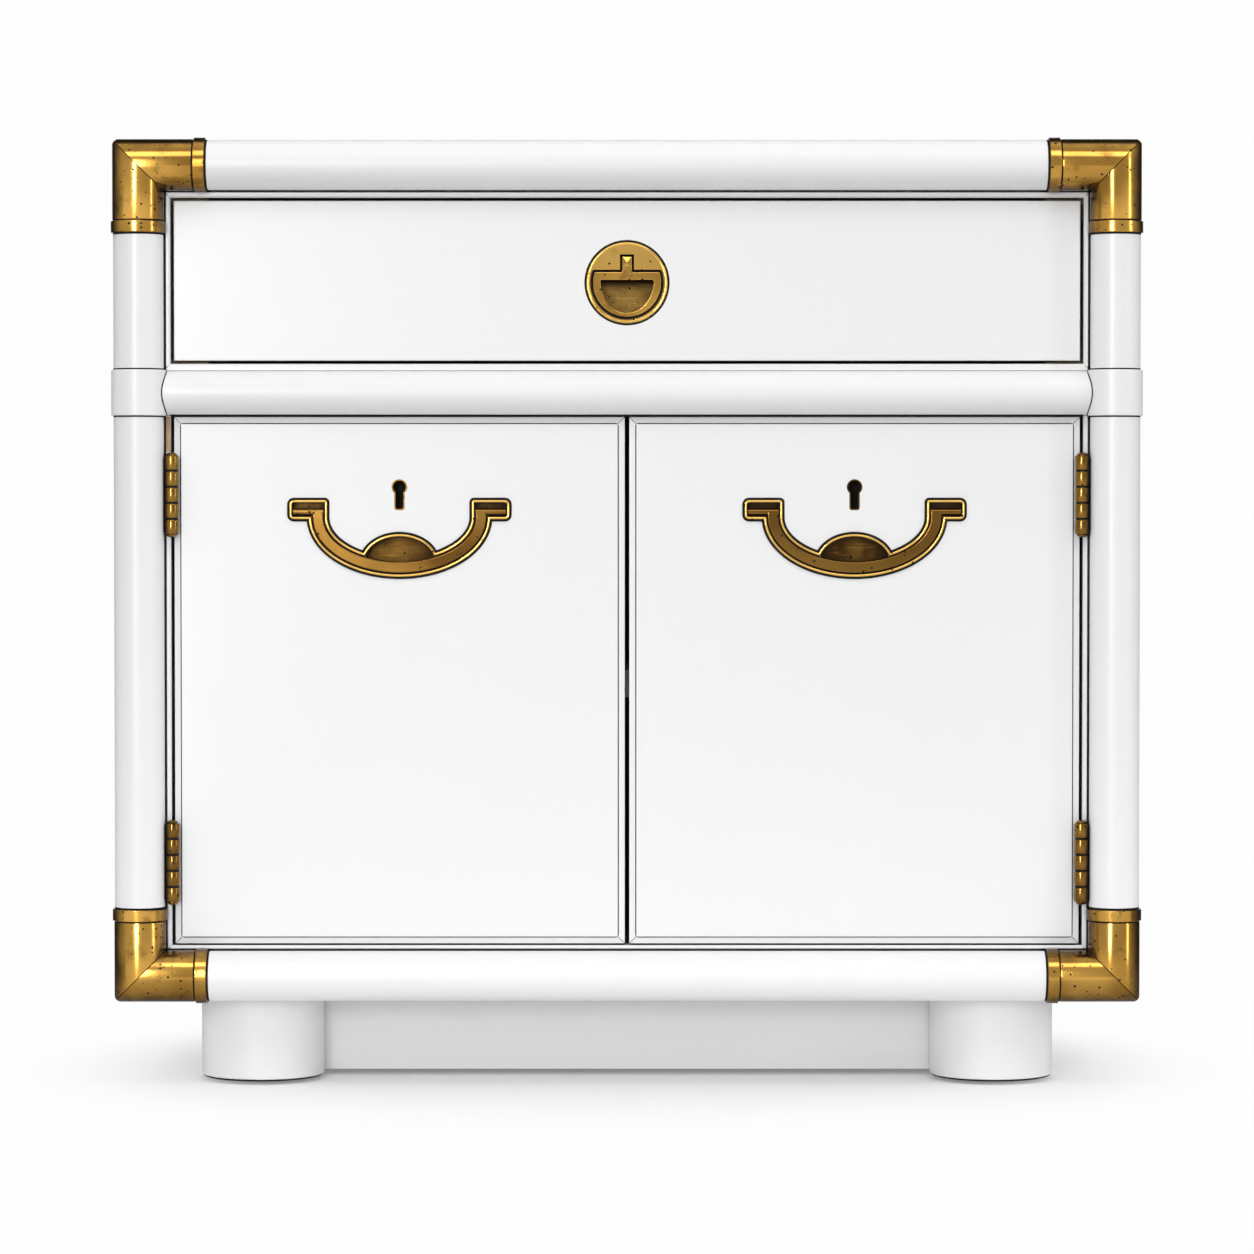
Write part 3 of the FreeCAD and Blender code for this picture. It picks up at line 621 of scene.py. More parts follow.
def elbowLeg(place, along, across, angles):
    radius, leg, end = elbowRadius, rod["elbowLeg"], elbow["endRound"]
    rows, cut = [], []
    for angle in angles:
        out = front * math.cos(angle) + across * math.sin(angle)
        mitre = radius * math.sin(angle)
        clipped = elbow["clip"] - 2 * radius - mitre
        if clipped > mitre - 1e-9:
            profile = [(radius, clipped), (radius, clipped + elbow["grooveWidth"])]
            cut.append(place + along * clipped + out * radius)
        else:
            low = radius - elbow["groove"]
            profile = [(low, low * math.sin(angle)), (radius, mitre + elbow["grooveWidth"])]
        profile += [(radius - down * end, leg - back * end) for down, back in elbow["endSteps"]]
        rows.append([place + along * s + out * r for r, s in profile])
    return rows, cut


def buildElbows():
    reach = caseAngle(elbowRadius)
    angles = [reach * (2 * i / elbow["steps"] - 1) for i in range(elbow["steps"] + 1)]
    edge = math.asin(1 - elbow["clip"] / (2 * elbowRadius))
    angles = sorted(angles + [-edge, edge - math.pi])
    for name, (side, up, node) in corners.items():
        place, along, across = cornerOf(side, up)
        maker = MeshMaker()
        railRows, railCut = elbowLeg(place, along, across, angles)
        postRows, postCut = elbowLeg(place, across, along, angles)
        maker.grid(railRows)
        maker.grid(postRows)
        maker.face(railCut + postCut[::-1])
        piece = maker.piece(name + "Elbow", "case", "brass", finishes["brass"], elbow["sharp"])
        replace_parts(piece, node)


# dark seams beside the brass bands and the white collars and where the middle rail is coped to the collars:
# grime in the joints with painted shade; and a strip of painted shade under that rail, over the doors
seam = {
    "width": 1.25 * mm,
    "lift": 0.07 * mm,
    "bandClear": 0.2 * mm,
    "count": 48,
    "collarWidth": 0.95 * mm,
    "copeRadius": 0.56 * mm,
    "copeTurn": (-92, 92),
    "copeSteps": 40,
    "headHalf": 292.2 * mm,
    "headClear": 0.2 * mm,
    "headTurn": (-90, -75),
    "headSteps": 6,
}
seamRadius = rod["radius"] + seam["lift"]


def buildBandSeams():
    maker = MeshMaker()
    bandStart = rod["elbowLeg"]
    bandEnd = bandStart + rod["bandWidth"]
    for side, up, _ in corners.values():
        place, along, across = cornerOf(side, up)
        for way in (along, across):
            for start in (bandStart - seam["width"] - seam["bandClear"], bandEnd):
                profile = [(seamRadius, start), (seamRadius, start + seam["width"])]
                maker.turned(profile, place, way, caseAngle(seamRadius), seam["count"])
    maker.piece("bandSeams", "case", "brass", finishes["grimeAndShade"])


def buildCollarSeams():
    maker = MeshMaker()
    low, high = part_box("post_collars")
    profile = [(seamRadius, 0), (seamRadius, seam["collarWidth"])]
    for side in (-1, 1):
        for z in (low.z - seam["collarWidth"], high.z):
            place = (side * postX, rodY, z)
            maker.turned(profile, place, upward, caseAngle(seamRadius), seam["count"])
    railLow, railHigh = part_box("middle_front_rail")
    railRadius = (railHigh.z - railLow.z) / 2
    railY, railZ = railLow.y + railRadius, (railLow.z + railHigh.z) / 2
    cope = arcPath(0, railZ, railRadius, railRadius, *seam["copeTurn"], seam["copeSteps"])
    for side in (-1, 1):
        points = []
        for out, z in cope:
            y = railY - out
            x = postX - math.sqrt(bandRadius ** 2 - (y - rodY) ** 2)
            points.append(Vector((side * x, y, z)))
        maker.thread(points, seam["copeRadius"])
    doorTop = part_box("left_door_panel")[1].z + seam["headClear"]
    half = seam["headHalf"]
    maker.grid([[(-half, railY, z), (half, railY, z)] for z in (doorTop, railLow.z)])
    headRadius = railRadius + seam["lift"]
    head = arcPath(0, railZ, headRadius, headRadius, *seam["headTurn"], seam["headSteps"])
    maker.grid([[(-half, railY - out, z), (half, railY - out, z)] for out, z in head])
    maker.piece("collarSeams", "case", "white_lacquer", finishes["grimeAndShade"])


# painted contact shadow under each foot, a dark edge round its eased lower corner
footEdge = {"round": 2.5 * mm, "turn": 64, "lift": 0.04 * mm, "steps": 6, "count": 96}


def buildFootEdges():
    maker = MeshMaker()
    out = footEdge["round"] + footEdge["lift"]
    for node in ("front_feet", "rear_feet"):
        low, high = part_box(node)
        radius = (high.y - low.y) / 2
        profile = arcPath(radius - footEdge["round"], footEdge["round"], out, out,
                          -90, footEdge["turn"] - 90, footEdge["steps"])
        for x in (high.x - radius, low.x + radius):
            maker.turned(profile, (x, (low.y + high.y) / 2, low.z), upward, count=footEdge["count"])
    maker.piece("footEdges", "case", "white_lacquer", finishes["grimeAndShade"])


# butt hinges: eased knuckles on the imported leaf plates, and pins with button ends, whose form is in shares of
# the tip's radius and height
hinge = {
    "length": 51.4 * mm,
    "knuckles": 5,
    "frameKnuckles": (0, 2, 4),
    "doorKnuckles": (1, 3),
    "bore": 0.45,
    "ease": 0.8 * mm,
    "easeMiddle": 0.3,
    "gap": 1.0 * mm,
    "gapRadius": 0.86,
    "tipRadius": 3.4 * mm,
    "tipHeight": 2.0 * mm,
    "tipForm": ((0, 1), (0.45, 0.96), (0.8, 0.74), (1, 0.3), (0.96, 0)),
    "knuckleCount": 40,
    "pinCount": 36,
    "leafWeld": 0.002 * mm,
    "leafSharp": 35.0,
    "pinSharp": 40.0,
}


def hingeCentres(side):
    low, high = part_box(side + "_hinge_frame_leaves")
    radius = (high.x - low.x) / 2
    half = hinge["length"] / 2
    x, y = (low.x + high.x) / 2, low.y + radius
    return radius, [Vector((x, y, low.z + half)), Vector((x, y, high.z - half))]


def hingeLeaf(name, node, body, radius, centres, owned):
    shape = bmesh.new()
    shape.from_mesh(nodes[node].data)
    bmesh.ops.remove_doubles(shape, verts=shape.verts, dist=hinge["leafWeld"])
    behind = centres[0] + Vector((0, radius, 0))
    everything = shape.verts[:] + shape.edges[:] + shape.faces[:]
    bmesh.ops.bisect_plane(shape, geom=everything, plane_co=behind, plane_no=(0, -1, 0), clear_outer=True)
    plates = bpy.data.meshes.new(name)
    shape.to_mesh(plates)
    shape.free()
    maker = MeshMaker()
    maker.points = [vertex.co.copy() for vertex in plates.vertices]
    maker.faces = [tuple(face.vertices) for face in plates.polygons]
    pitch = hinge["length"] / hinge["knuckles"]
    ease, step = hinge["ease"], hinge["easeMiddle"] * hinge["ease"]
    for centre in centres:
        for index in owned:
            low = (index - hinge["knuckles"] / 2) * pitch + hinge["gap"] / 2
            high = low + pitch - hinge["gap"]
            profile = [(hinge["bore"] * radius, low), (radius - ease, low), (radius - step, low + step),
                       (radius, low + ease)]
            profile += [(r, low + high - s) for r, s in profile[::-1]]
            maker.turned(profile, centre, upward, count=hinge["knuckleCount"])
    piece = maker.piece(name, body, "brass", finishes["hinge"], hinge["leafSharp"])
    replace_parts(piece, node)


def buildHinges():
    pins = MeshMaker()
    gaps = MeshMaker()
    half, halfGap = hinge["length"] / 2, hinge["gap"] / 2
    button = [(r * hinge["tipRadius"], half + s * hinge["tipHeight"] - halfGap) for r, s in hinge["tipForm"]]
    for side in ("left", "right"):
        radius, centres = hingeCentres(side)
        hingeLeaf(side + "FrameLeaves", side + "_hinge_frame_leaves", "case", radius, centres,
                  hinge["frameKnuckles"])
        hingeLeaf(side + "DoorLeaves", side + "_hinge_door_leaves", side + "_door", radius, centres,
                  hinge["doorKnuckles"])
        core, dark = hinge["bore"] * radius, hinge["gapRadius"] * radius
        pin = button + [(core, half), (core, -half)] + [(r, -s) for r, s in button[::-1]]
        for centre in centres:
            pins.turned(pin, centre, upward, count=hinge["pinCount"])
            # a dark ring in each gap between the knuckles: painted shade
            for index in range(1, hinge["knuckles"]):
                z = (index - hinge["knuckles"] / 2) * hinge["length"] / hinge["knuckles"]
                gap = [(dark, z - halfGap), (dark, z + halfGap)]
                gaps.turned(gap, centre, upward, count=hinge["pinCount"])
    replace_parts(pins.piece("hingePins", "case", "brass", finishes["hinge"], hinge["pinSharp"]), "hinge_pins")
    gaps.piece("hingeGaps", "case", "brass", finishes["grimeAndShade"])


# raised bead along the rim of each door pull, with painted shade as a dark outline on both sides
pull = {
    "outer": (55.7 * mm, 35.8 * mm),
    "outerTurn": (182, 358),
    "outerSteps": 80,
    "bar": 6.9 * mm,
    "bowSteps": 90,
    "bowRound": 0.9 * mm,
    "rimMiddle": 1.7 * mm,
    "tipReach": 68.1 * mm,
    "tipRound": 2.4 * mm,
    "tipRootRound": 0.7 * mm,
    "pivotRise": 3.35 * mm,
    "tipHalf": 2.2 * mm,
    "pocketRise": 3.0 * mm,
    "cup": (22.4 * mm, 16.1 * mm),
    "cupRimMiddle": 1.2 * mm,
    "cupRound": 0.8 * mm,
    "cupSteps": 40,
    "bead": (0.85 * mm, 0.9 * mm),
    "beadSharp": 60.0,
    "sink": 0.3 * mm,
    "outline": (1.1 * mm, 2.25 * mm),
    "rimShade": (1.7 * mm, 1.2 * mm),
}


def jointOf(name):
    return next(joint for joint in frame["record"]["behaviour"]["joints"] if joint["name"] == name)


def pullCentre(side):
    low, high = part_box(side + "_door_pull_plate")
    pivot = jointOf(side + "_bail_swing")["pos_m"]
    return (low.x + high.x) / 2, pivot[2] - pull["pivotRise"], low.y


# middle line of the rim, round the bail's bow, its two tips and the finger cup
def rimPath(cx, cz):
    outerX, outerZ = (size + pull["rimMiddle"] for size in pull["outer"])
    innerX, innerZ = (size - pull["bar"] - pull["rimMiddle"] for size in pull["outer"])
    cupX, cupZ = (size + pull["cupRimMiddle"] for size in pull["cup"])
    cupCentre = pull["bar"] - pull["outer"][1]
    low = pull["pivotRise"] - pull["tipHalf"] - pull["rimMiddle"]
    high = pull["pivotRise"] + pull["tipHalf"] + pull["pocketRise"] + pull["rimMiddle"]
    end = pull["tipReach"] + pull["rimMiddle"]
    bow = arcPath(0, 0, innerX, innerZ, 0, -90, pull["bowSteps"])
    bow = [(x, z) for x, z in bow if (x / cupX) ** 2 + ((z - cupCentre) / cupZ) ** 2 > 1]
    meetX, meetZ = bow[-1]
    cupStart = math.degrees(math.atan2((meetZ - cupCentre) / cupZ, meetX / cupX))
    arch = arcPath(0, cupCentre, cupX, cupZ, cupStart, 180 - cupStart, pull["cupSteps"])[1:-1]
    tipEnd = [(end, low, pull["tipRound"]), (end, high, pull["tipRound"]), (innerX, high, pull["bowRound"])]
    tipRoot = [(outerX, low, pull["tipRootRound"])]
    path = [(-x, z, r) for x, z, r in tipEnd[::-1] + tipRoot]
    path += plainCorners(arcPath(0, 0, outerX, outerZ, *pull["outerTurn"], pull["outerSteps"]))
    path += tipRoot + tipEnd
    path += plainCorners(bow[:-1]) + [(meetX, meetZ, pull["cupRound"])]
    path += plainCorners(arch)
    path += [(-meetX, meetZ, pull["cupRound"])] + [(-x, z, 0) for x, z in bow[-2::-1]]
    return moved(softPath(path), cx, cz)


def buildPullBeads():
    for side in ("left", "right"):
        cx, cz, rimY = pullCentre(side)
        rim = rimPath(cx, cz)
        maker = MeshMaker()
        maker.swept(rim, beadProfile(*pull["bead"]), rimY + pull["sink"])
        maker.piece(side + "PullBead", side + "_door", "brass", finishes["bead"], pull["beadSharp"])
        outline = MeshMaker()
        outer, inner = pull["rimShade"]
        outline.swept(rim, [(-outer, 0), (inner, 0)], rimY - fineLine["lift"])
        near, far = pull["outline"]
        outline.swept(rim, [(-far, 0), (-near, 0)], doorFaceY - fineLine["lift"])
        outline.piece(side + "PullOutline", side + "_door", "brass", finishes["grimeAndShade"])


# dark well behind each keyhole liner: a closed sheet of painted shade for the dark inside of the hole
keyhole = {
    "rise": 19.3 * mm,
    "radius": 4.12 * mm,
    "headSteps": 40,
    "slotHalf": 2.4 * mm,
    "slotLength": 13.9 * mm,
    "round": 1.3 * mm,
    "start": 0.5 * mm,
    "depth": 11.0 * mm,
}


def buildKeyholes():
    radius, half, rounded = keyhole["radius"], keyhole["slotHalf"], keyhole["round"]
    low = keyhole["rise"] - keyhole["slotLength"]
    turn = math.degrees(math.asin(half / radius))
    head = arcPath(0, keyhole["rise"], radius, radius, turn - 90, 270 - turn, keyhole["headSteps"])
    outline = softPath([(half, low, rounded)] + plainCorners(head) + [(-half, low, rounded)])
    for side in ("left", "right"):
        cx, cz, _ = pullCentre(side)
        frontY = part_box(side + "_keyhole_liner")[0].y
        path = moved(outline, cx, cz)
        maker = MeshMaker()
        maker.swept(path, [(0, -keyhole["start"]), (0, -keyhole["depth"])], frontY)
        maker.face([(x, frontY + keyhole["depth"], z) for x, z in path])
        maker.piece(side + "LockWell", side + "_door", "brass", finishes["grimeAndShade"])


# drawer pull: bead and outline of painted shade round its plate, painted shade in the gap round the ring, and a
# D-shaped ring with a faceted press tab
ringPull = {
    "plateSteps": 120,
    "beadInset": 1.1 * mm,
    "bead": (0.85 * mm, 0.8 * mm),
    "beadSharp": 60.0,
    "sink": 0.3 * mm,
    "outline": 1.2 * mm,
    "gapShade": (0.7 * mm, 1.7 * mm),
    "radius": 21.95 * mm,
    "rimSteps": 100,
    "rimRound": 0.8 * mm,
    "top": 6.9 * mm,
    "openingHalf": 16.9 * mm,
    "openingTop": 1.7 * mm,
    "openingDrop": 20.8 * mm,
    "openingRound": 1.4 * mm,
    "openingSteps": 60,
    "thickness": 3.5 * mm,
    "ease": 0.7 * mm,
    "easeSteps": 3,
    "tabHalf": 3.2 * mm,
    "tabTop": 16.8 * mm,
    "tabRound": 0.7 * mm,
    "tabRootRound": 1.0 * mm,
    "facetHalf": 2.6 * mm,
    "facetLow": 10.4 * mm,
    "facetPeak": 12.9 * mm,
    "facetLift": 1.2 * mm,
    "facetMargin": 0.5 * mm,
    "facetSharp": 5.0,
}


# flat plate from closed loops of (x, z) points, with eased edges; the second loop is a hole
def easedPlate(name, loops, faceY, thickness, ease):
    curve = bpy.data.curves.new(name, "CURVE")
    curve.dimensions = "2D"
    curve.fill_mode = "BOTH"
    curve.extrude = thickness / 2 - ease
    curve.bevel_depth = ease
    curve.bevel_resolution = ringPull["easeSteps"]
    curve.offset = -ease
    for loop in loops:
        spline = curve.splines.new("POLY")
        spline.points.add(len(loop) - 1)
        for point, (x, z) in zip(spline.points, loop):
            point.co = (x, z, 0, 1)
        spline.use_cyclic_u = True
    holder = bpy.data.objects.new(name, curve)
    mesh = bpy.data.meshes.new_from_object(holder)
    bpy.data.objects.remove(holder)
    middle = faceY + thickness / 2
    for vertex in mesh.vertices:
        x, z, depth = vertex.co
        vertex.co = (x, middle - depth, z)
    mesh.update()
    return mesh


# the ring's rim below its straight top
def ringRim(cx, cz):
    radius = ringPull["radius"]
    turn = math.degrees(math.asin(ringPull["top"] / radius))
    return arcPath(cx, cz, radius, radius, turn, -180 - turn, ringPull["rimSteps"])


def ringLoops(cx, cz):
    top, half, tabTop = ringPull["top"], ringPull["tabHalf"], ringPull["tabTop"]
    rim = ringRim(0, 0)
    outer = [(*rim[0], ringPull["rimRound"])] + plainCorners(rim[1:-1]) + [(*rim[-1], ringPull["rimRound"])]
    outer += [(-half, top, ringPull["tabRootRound"]), (-half, tabTop, ringPull["tabRound"])]
    outer += [(half, tabTop, ringPull["tabRound"]), (half, top, ringPull["tabRootRound"])]
    bowl = arcPath(0, ringPull["openingTop"], ringPull["openingHalf"], ringPull["openingDrop"], 0, -180,
                   ringPull["openingSteps"])
    first, last = ((*end, ringPull["openingRound"]) for end in (bowl[0], bowl[-1]))
    inner = [first] + plainCorners(bowl[2:-2]) + [last]
    return [moved(softPath(loop), cx, cz) for loop in (outer, inner)]


def buildRingPull():
    low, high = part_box("drawer_pull_plate")
    cx, cz, radius = (low.x + high.x) / 2, (low.z + high.z) / 2, (high.x - low.x) / 2
    beadRadius = radius - ringPull["beadInset"]
    bead = arcPath(cx, cz, beadRadius, beadRadius, 0, 360, ringPull["plateSteps"])[:-1]
    maker = MeshMaker()
    maker.swept(bead, beadProfile(*ringPull["bead"]), low.y + ringPull["sink"])
    maker.piece("ringPlateBead", "drawer", "brass", finishes["bead"], ringPull["beadSharp"])
    edge = arcPath(cx, cz, radius, radius, 0, 360, ringPull["plateSteps"])[:-1]
    outline = MeshMaker()
    outline.swept(edge, [(-ringPull["outline"], 0), (0, 0)], doorFaceY - fineLine["lift"])
    near, far = ringPull["gapShade"]
    outline.swept(ringRim(cx, cz), [(near, 0), (far, 0)], low.y - fineLine["lift"], closed=False)
    outline.piece("ringPlateOutline", "drawer", "brass", finishes["grimeAndShade"])
    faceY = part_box("drawer_ring")[0].y
    mesh = easedPlate("pullRing", ringLoops(cx, cz), faceY, ringPull["thickness"], ringPull["ease"])
    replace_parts(placeMesh("pullRing", mesh, "drawer_ring", finishes["ring"]), "drawer_ring")
    left, right = cx - ringPull["facetHalf"], cx + ringPull["facetHalf"]
    top, root = cz + ringPull["tabTop"] - ringPull["facetMargin"], cz + ringPull["facetLow"]
    base = [(left, faceY, top), (right, faceY, top), (right, faceY, root), (left, faceY, root)]
    peak = (cx, faceY - ringPull["facetLift"], cz + ringPull["facetPeak"])
    facets = MeshMaker()
    for i in range(4):
        facets.face([base[i], base[(i + 1) % 4], peak])
    facets.piece("ringTabFacets", "drawer_ring", "brass", finishes["ring"], ringPull["facetSharp"])


# fine dark lines at the mitres of the mouldings and door borders, and painted shade round the doors' raised
# fields
fineLine = {
    "half": 0.16 * mm,
    "lift": 0.03 * mm,
    "bevel": 1.2 * mm,
    "reach": 4.2 * mm,
    "border": 4.5 * mm,
    "step": 0.7 * mm,
    "fall": 1.0 * mm,
    "fieldWidth": 0.72 * mm,
    "fieldRise": 0.35 * mm,
    "fieldRound": 1.6 * mm,
}


# strip between points given as (x, y, z), seen from the front
def ribbon(maker, points, half):
    way = Vector((points[-1][0] - points[0][0], 0, points[-1][2] - points[0][2])).normalized()
    aside = Vector((-way.z, 0, way.x)) * half
    raised = [Vector(point) + front * fineLine["lift"] for point in points]
    maker.grid([[point + aside, point - aside] for point in raised])


def buildMouldingMitres():
    maker = MeshMaker()
    openX, bevel = drawerOpening["x"], fineLine["bevel"]
    places = [(drawerOpening["low"], -1), (drawerOpening["high"], 1), (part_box("door_sill_moulding")[1].z, -1)]
    stops = [(0, bevel), (bevel, 0), (fineLine["reach"], 0)]
    for side in (-1, 1):
        for z, up in places:
            points = [(side * (openX + d), doorFaceY + sink, z + up * d) for d, sink in stops]
            ribbon(maker, points, fineLine["half"])
    maker.piece("mouldingMitres", "case", "white_lacquer", finishes["grimeAndShade"])


def buildDoorLines():
    border, step = fineLine["border"], fineLine["step"]
    stops = [(0, step + fineLine["fall"]), (border, step)]
    for side in ("left", "right"):
        low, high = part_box(side + "_door_panel")
        maker = MeshMaker()
        for x, way in ((low.x, 1), (high.x, -1)):
            for z, up in ((low.z, 1), (high.z, -1)):
                points = [(x + way * d, low.y + sink, z + up * d) for d, sink in stops]
                ribbon(maker, points, fineLine["half"])
        left, right, foot, head = low.x + border, high.x - border, low.z + border, high.z - border
        field = [(left, foot), (right, foot), (right, head), (left, head)]
        path = softPath([(x, z, fineLine["fieldRound"]) for x, z in field])
        maker.swept(path, [(-fineLine["fieldWidth"], 0), (0, fineLine["fieldRise"])], low.y + step)
        maker.piece(side + "DoorLines", side + "_door", "white_lacquer", finishes["shade"])


# bare wood left where the paint ends above the upper left hinge
bareWood = {"half": 1.45 * mm, "crown": 0.8, "inset": 0.05 * mm, "lift": 0.05 * mm, "topGap": 0.5 * mm}


def buildBareWood():
    upperHinge = hingeCentres("left")[1][1]
    low = upperHinge.z + hinge["length"] / 2 + hinge["tipHeight"]
    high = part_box("post_collars")[0].z - bareWood["topGap"]
    half, lift = bareWood["half"], bareWood["lift"]
    crown = bareWood["crown"] * half
    x = -drawerOpening["x"] - bareWood["inset"] - half
    path = [(x, z) for z in (low, (low + high) / 2, high)]
    maker = MeshMaker()
    maker.swept(path, [(-half, 0), (-crown, lift), (crown, lift), (half, 0)], doorFaceY, closed=False)
    maker.piece("bareWoodSliver", "case", "drawer_wood", finishes["drawer_wood"])


buildElbows()
buildBandSeams()
buildCollarSeams()
buildFootEdges()
print("elbows, seams and foot edges set")
buildHinges()
print("hinges set")
buildPullBeads()
buildKeyholes()
buildRingPull()
print("pulls set")
buildMouldingMitres()
buildDoorLines()
buildBareWood()
print("fine lines set")


# floor that fades into the white background away from the object
studioFloor = {
    "size": 12.0,
    "pale": (0.92, 0.92, 0.92, 1),
    "bounceNear": (0.90, 0.90, 0.90, 1),
    "bounceFar": (0.18, 0.18, 0.18, 1),
    "bounceTurn": (1.0, 2.4),
    "far": (0.985, 0.985, 0.985, 1),
    "middle": (0.0, -0.08, 0.0),
    "reach": (0.42, 0.36),
    "fade": (0.55, 1.0),
    "fadeNear": 0.21,
}


# share of the rays that look at a surface, rather than carry light from it
def lookedAt(tree):
    path = makeNode(tree, "ShaderNodeLightPath").outputs
    looked = mathOf(tree, "MAXIMUM", path["Is Camera Ray"], path["Is Glossy Ray"])
    return mathOf(tree, "MAXIMUM", looked, path["Is Transmission Ray"])


def stageSheet(name, points, material):
    mesh = bpy.data.meshes.new(name)
    mesh.from_pydata(points, [], [(0, 1, 2, 3)])
    mesh.materials.append(material)
    sheet = bpy.data.objects.new(name, mesh)
    scene.collection.objects.link(sheet)
    return sheet


def buildFloor():
    material = bpy.data.materials.new("studioFloor")
    material.use_nodes = True
    tree = material.node_tree
    tree.nodes.clear()
    place = makeNode(tree, "ShaderNodeTexCoord").outputs["Object"]
    place = vectorOf(tree, "SUBTRACT", {0: place, 1: studioFloor["middle"]})[0]
    reachX, reachY = studioFloor["reach"]
    place = stretched(tree, place, (1 / reachX, 1 / reachY, 1.0))
    away = vectorOf(tree, "LENGTH", {0: place})["Value"]
    looked = lookedAt(tree)
    bounceTurn = rangeOf(tree, away, *studioFloor["bounceTurn"])
    bounce = mixOf(tree, bounceTurn, studioFloor["bounceNear"], studioFloor["bounceFar"])
    tone = mixOf(tree, looked, bounce, studioFloor["pale"])
    near = makeNode(tree, "ShaderNodeBsdfDiffuse", None, {"Color": tone}).outputs[0]
    far = makeNode(tree, "ShaderNodeEmission", None, {"Color": studioFloor["far"]}).outputs[0]
    fade = rangeOf(tree, away, *studioFloor["fade"], studioFloor["fadeNear"], 1.0)
    fade = mathOf(tree, "MULTIPLY", fade, looked)
    both = makeNode(tree, "ShaderNodeMixShader", None, {0: fade, 1: near, 2: far}).outputs[0]
    makeNode(tree, "ShaderNodeOutputMaterial", None, {"Surface": both})
    half = studioFloor["size"] / 2
    points = [(-half, -half, 0), (half, -half, 0), (half, half, 0), (-half, half, 0)]
    stageSheet("studioFloor", points, material)


# grey cards round the set, out of view, that darken the edges of the brass towards the back: two corners and
# the way across
cardGrey = {
    "front": (0.70, 0.70, 0.70, 1),
    "back": (0.06, 0.06, 0.06, 1),
    "turn": (-0.6, 0.5),
    "roughness": 0.9,
}
darkCards = {
    "leftCard": ((-1.15, -0.6, 0.01), (-1.15, 1.7, 0.01), (0, 0, 1.5)),
    "rightCard": ((1.15, -0.5, 0.01), (1.15, 1.7, 0.01), (0, 0, 1.5)),
    "topCard": ((-1.2, 0.1, 1.6), (1.2, 0.1, 1.6), (0, 1.9, 0)),
    "floorCard": ((-1.2, -0.55, 0.005), (1.2, -0.55, 0.005), (0, 2.2, 0)),
}


def buildCards():
    material, tree, shader, place = startMaterial("cardGrey")
    turn = rangeOf(tree, axesOf(tree, place)["Y"], *cardGrey["turn"])
    setShader(tree, shader, {
        "Base Color": mixOf(tree, turn, cardGrey["front"], cardGrey["back"]),
        "Roughness": cardGrey["roughness"],
    })
    for name, (start, end, across) in darkCards.items():
        start, end, across = Vector(start), Vector(end), Vector(across)
        card = stageSheet(name, [start, end, end + across, start + across], material)
        card.visible_camera = False  # only the brass mirrors them
        card.visible_diffuse = False
        card.visible_shadow = False


# soft boxes: place, size, power, whether the brass mirrors them, and whether they light the rest
softBoxes = {
    "topBox": ((0.0, -1.5, 2.0), (1.8, 0.7), 11.2, True, True),
    "leftBox": ((-0.92, -3.3, 0.9), (0.65, 1.5), 16.0, True, True),
    "glintBox": ((-0.90, -3.2, 0.9), (0.24, 1.5), 34.0, True, False),
    "rightBox": ((2.0, -1.2, 0.8), (0.25, 1.4), 6.0, True, True),
    "frontFill": ((0.0, -3.4, 0.7), (3.0, 0.6), 21.0, False, True),
    "backFill": ((0.0, 3.4, 1.3), (3.0, 0.8), 26.0, False, True),
    "leftFill": ((-3.2, 0.8, 0.9), (1.6, 0.8), 18.0, False, True),
    "rightFill": ((3.2, 0.8, 0.9), (1.6, 0.8), 18.0, False, True),
}
# points aimed at, where that isn't the middle of the front
boxAim = {
    "front": (0, -0.1, 0.35),
    "frontFill": (0, -0.1, 0.1),
    "backFill": (0, 0.1, 0.2),
    "leftFill": (0, 0.0, 0.25),
    "rightFill": (0, 0.0, 0.25),
}
roomLight = {
    "above": (0.81, 0.81, 0.82, 1),
    "level": (0.12, 0.12, 0.12, 1),
    "riseTurn": (-0.2, 0.9),
    "backdrop": (0.985, 0.985, 0.985, 1),
    "roomSide": (0.57, 0.56, 0.54, 1),
    "backTurn": (-0.45, 0.1),
}


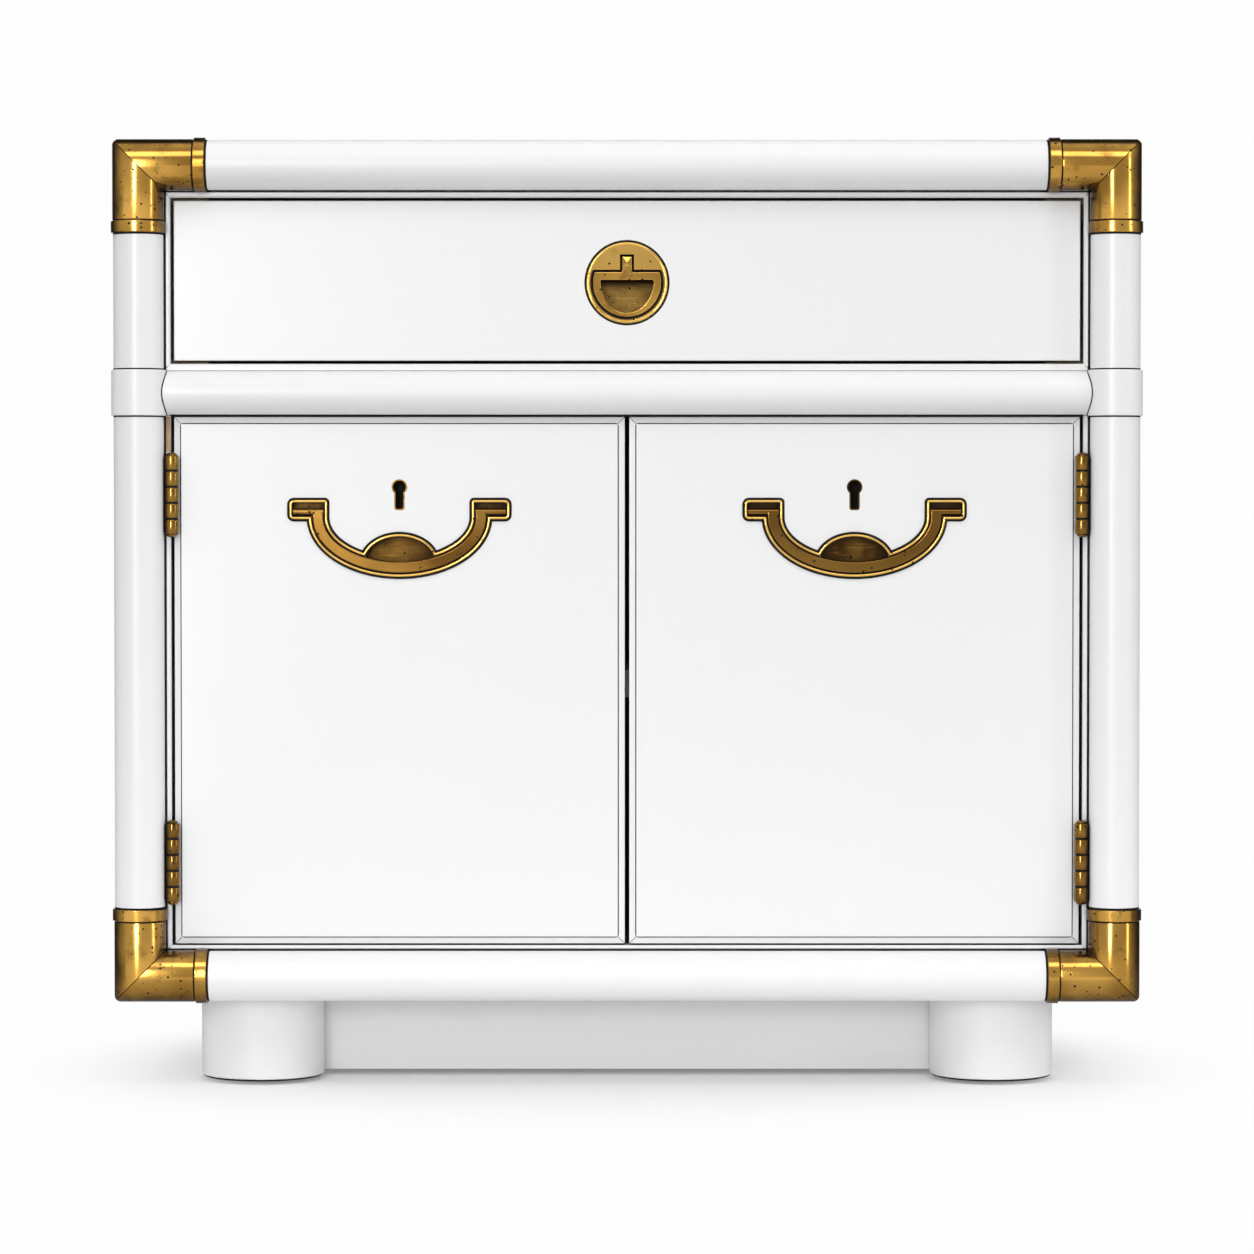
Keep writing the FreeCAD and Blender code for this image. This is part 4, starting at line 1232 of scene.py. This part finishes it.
def buildLamps():
    for name, (place, size, power, mirrored, lighting) in softBoxes.items():
        light = bpy.data.lights.new(name, "AREA")
        light.shape = "RECTANGLE"
        light.size, light.size_y = size
        light.energy = power
        lamp = bpy.data.objects.new(name, light)
        lamp.location = place
        lamp.visible_glossy = mirrored
        lamp.visible_diffuse = lighting
        lamp.visible_camera = False
        aim = Vector(boxAim.get(name, boxAim["front"])) - Vector(place)
        lamp.rotation_euler = aim.to_track_quat("-Z", "Y").to_euler()
        scene.collection.objects.link(lamp)


def buildRoom():
    world = bpy.data.worlds.new("studioRoom")
    world.use_nodes = True
    scene.world = world
    tree = world.node_tree
    tree.nodes.clear()
    axes = axesOf(tree, makeNode(tree, "ShaderNodeTexCoord").outputs["Generated"])
    rise = rangeOf(tree, axes["Z"], *roomLight["riseTurn"])
    lit = mixOf(tree, rise, roomLight["level"], roomLight["above"])
    path = makeNode(tree, "ShaderNodeLightPath").outputs
    clear = mathOf(tree, "MAXIMUM", rangeOf(tree, axes["Y"], *roomLight["backTurn"]), path["Is Camera Ray"])
    seen = mixOf(tree, clear, roomLight["roomSide"], roomLight["backdrop"])
    colour = mixOf(tree, lookedAt(tree), lit, seen)
    sky = makeNode(tree, "ShaderNodeBackground", None, {"Color": colour}).outputs[0]
    makeNode(tree, "ShaderNodeOutputWorld", None, {"Surface": sky})


# camera straight in front, a little above the middle
cameraLook = {"distance": 3.051, "height": 0.377, "tilt": 1.6, "lens": 128.1, "sensor": 36.0}


def buildCamera():
    lens = bpy.data.cameras.new("frontCamera")
    lens.lens = cameraLook["lens"]
    lens.sensor_width = cameraLook["sensor"]
    camera = bpy.data.objects.new("frontCamera", lens)
    camera.location = (0, -cameraLook["distance"], cameraLook["height"])
    camera.rotation_euler = (math.radians(90 - cameraLook["tilt"]), 0, 0)
    scene.collection.objects.link(camera)
    scene.camera = camera


buildFloor()
buildCards()
buildLamps()
buildRoom()
buildCamera()
scene.view_settings.view_transform = "Standard"
print("floor, light and camera set")
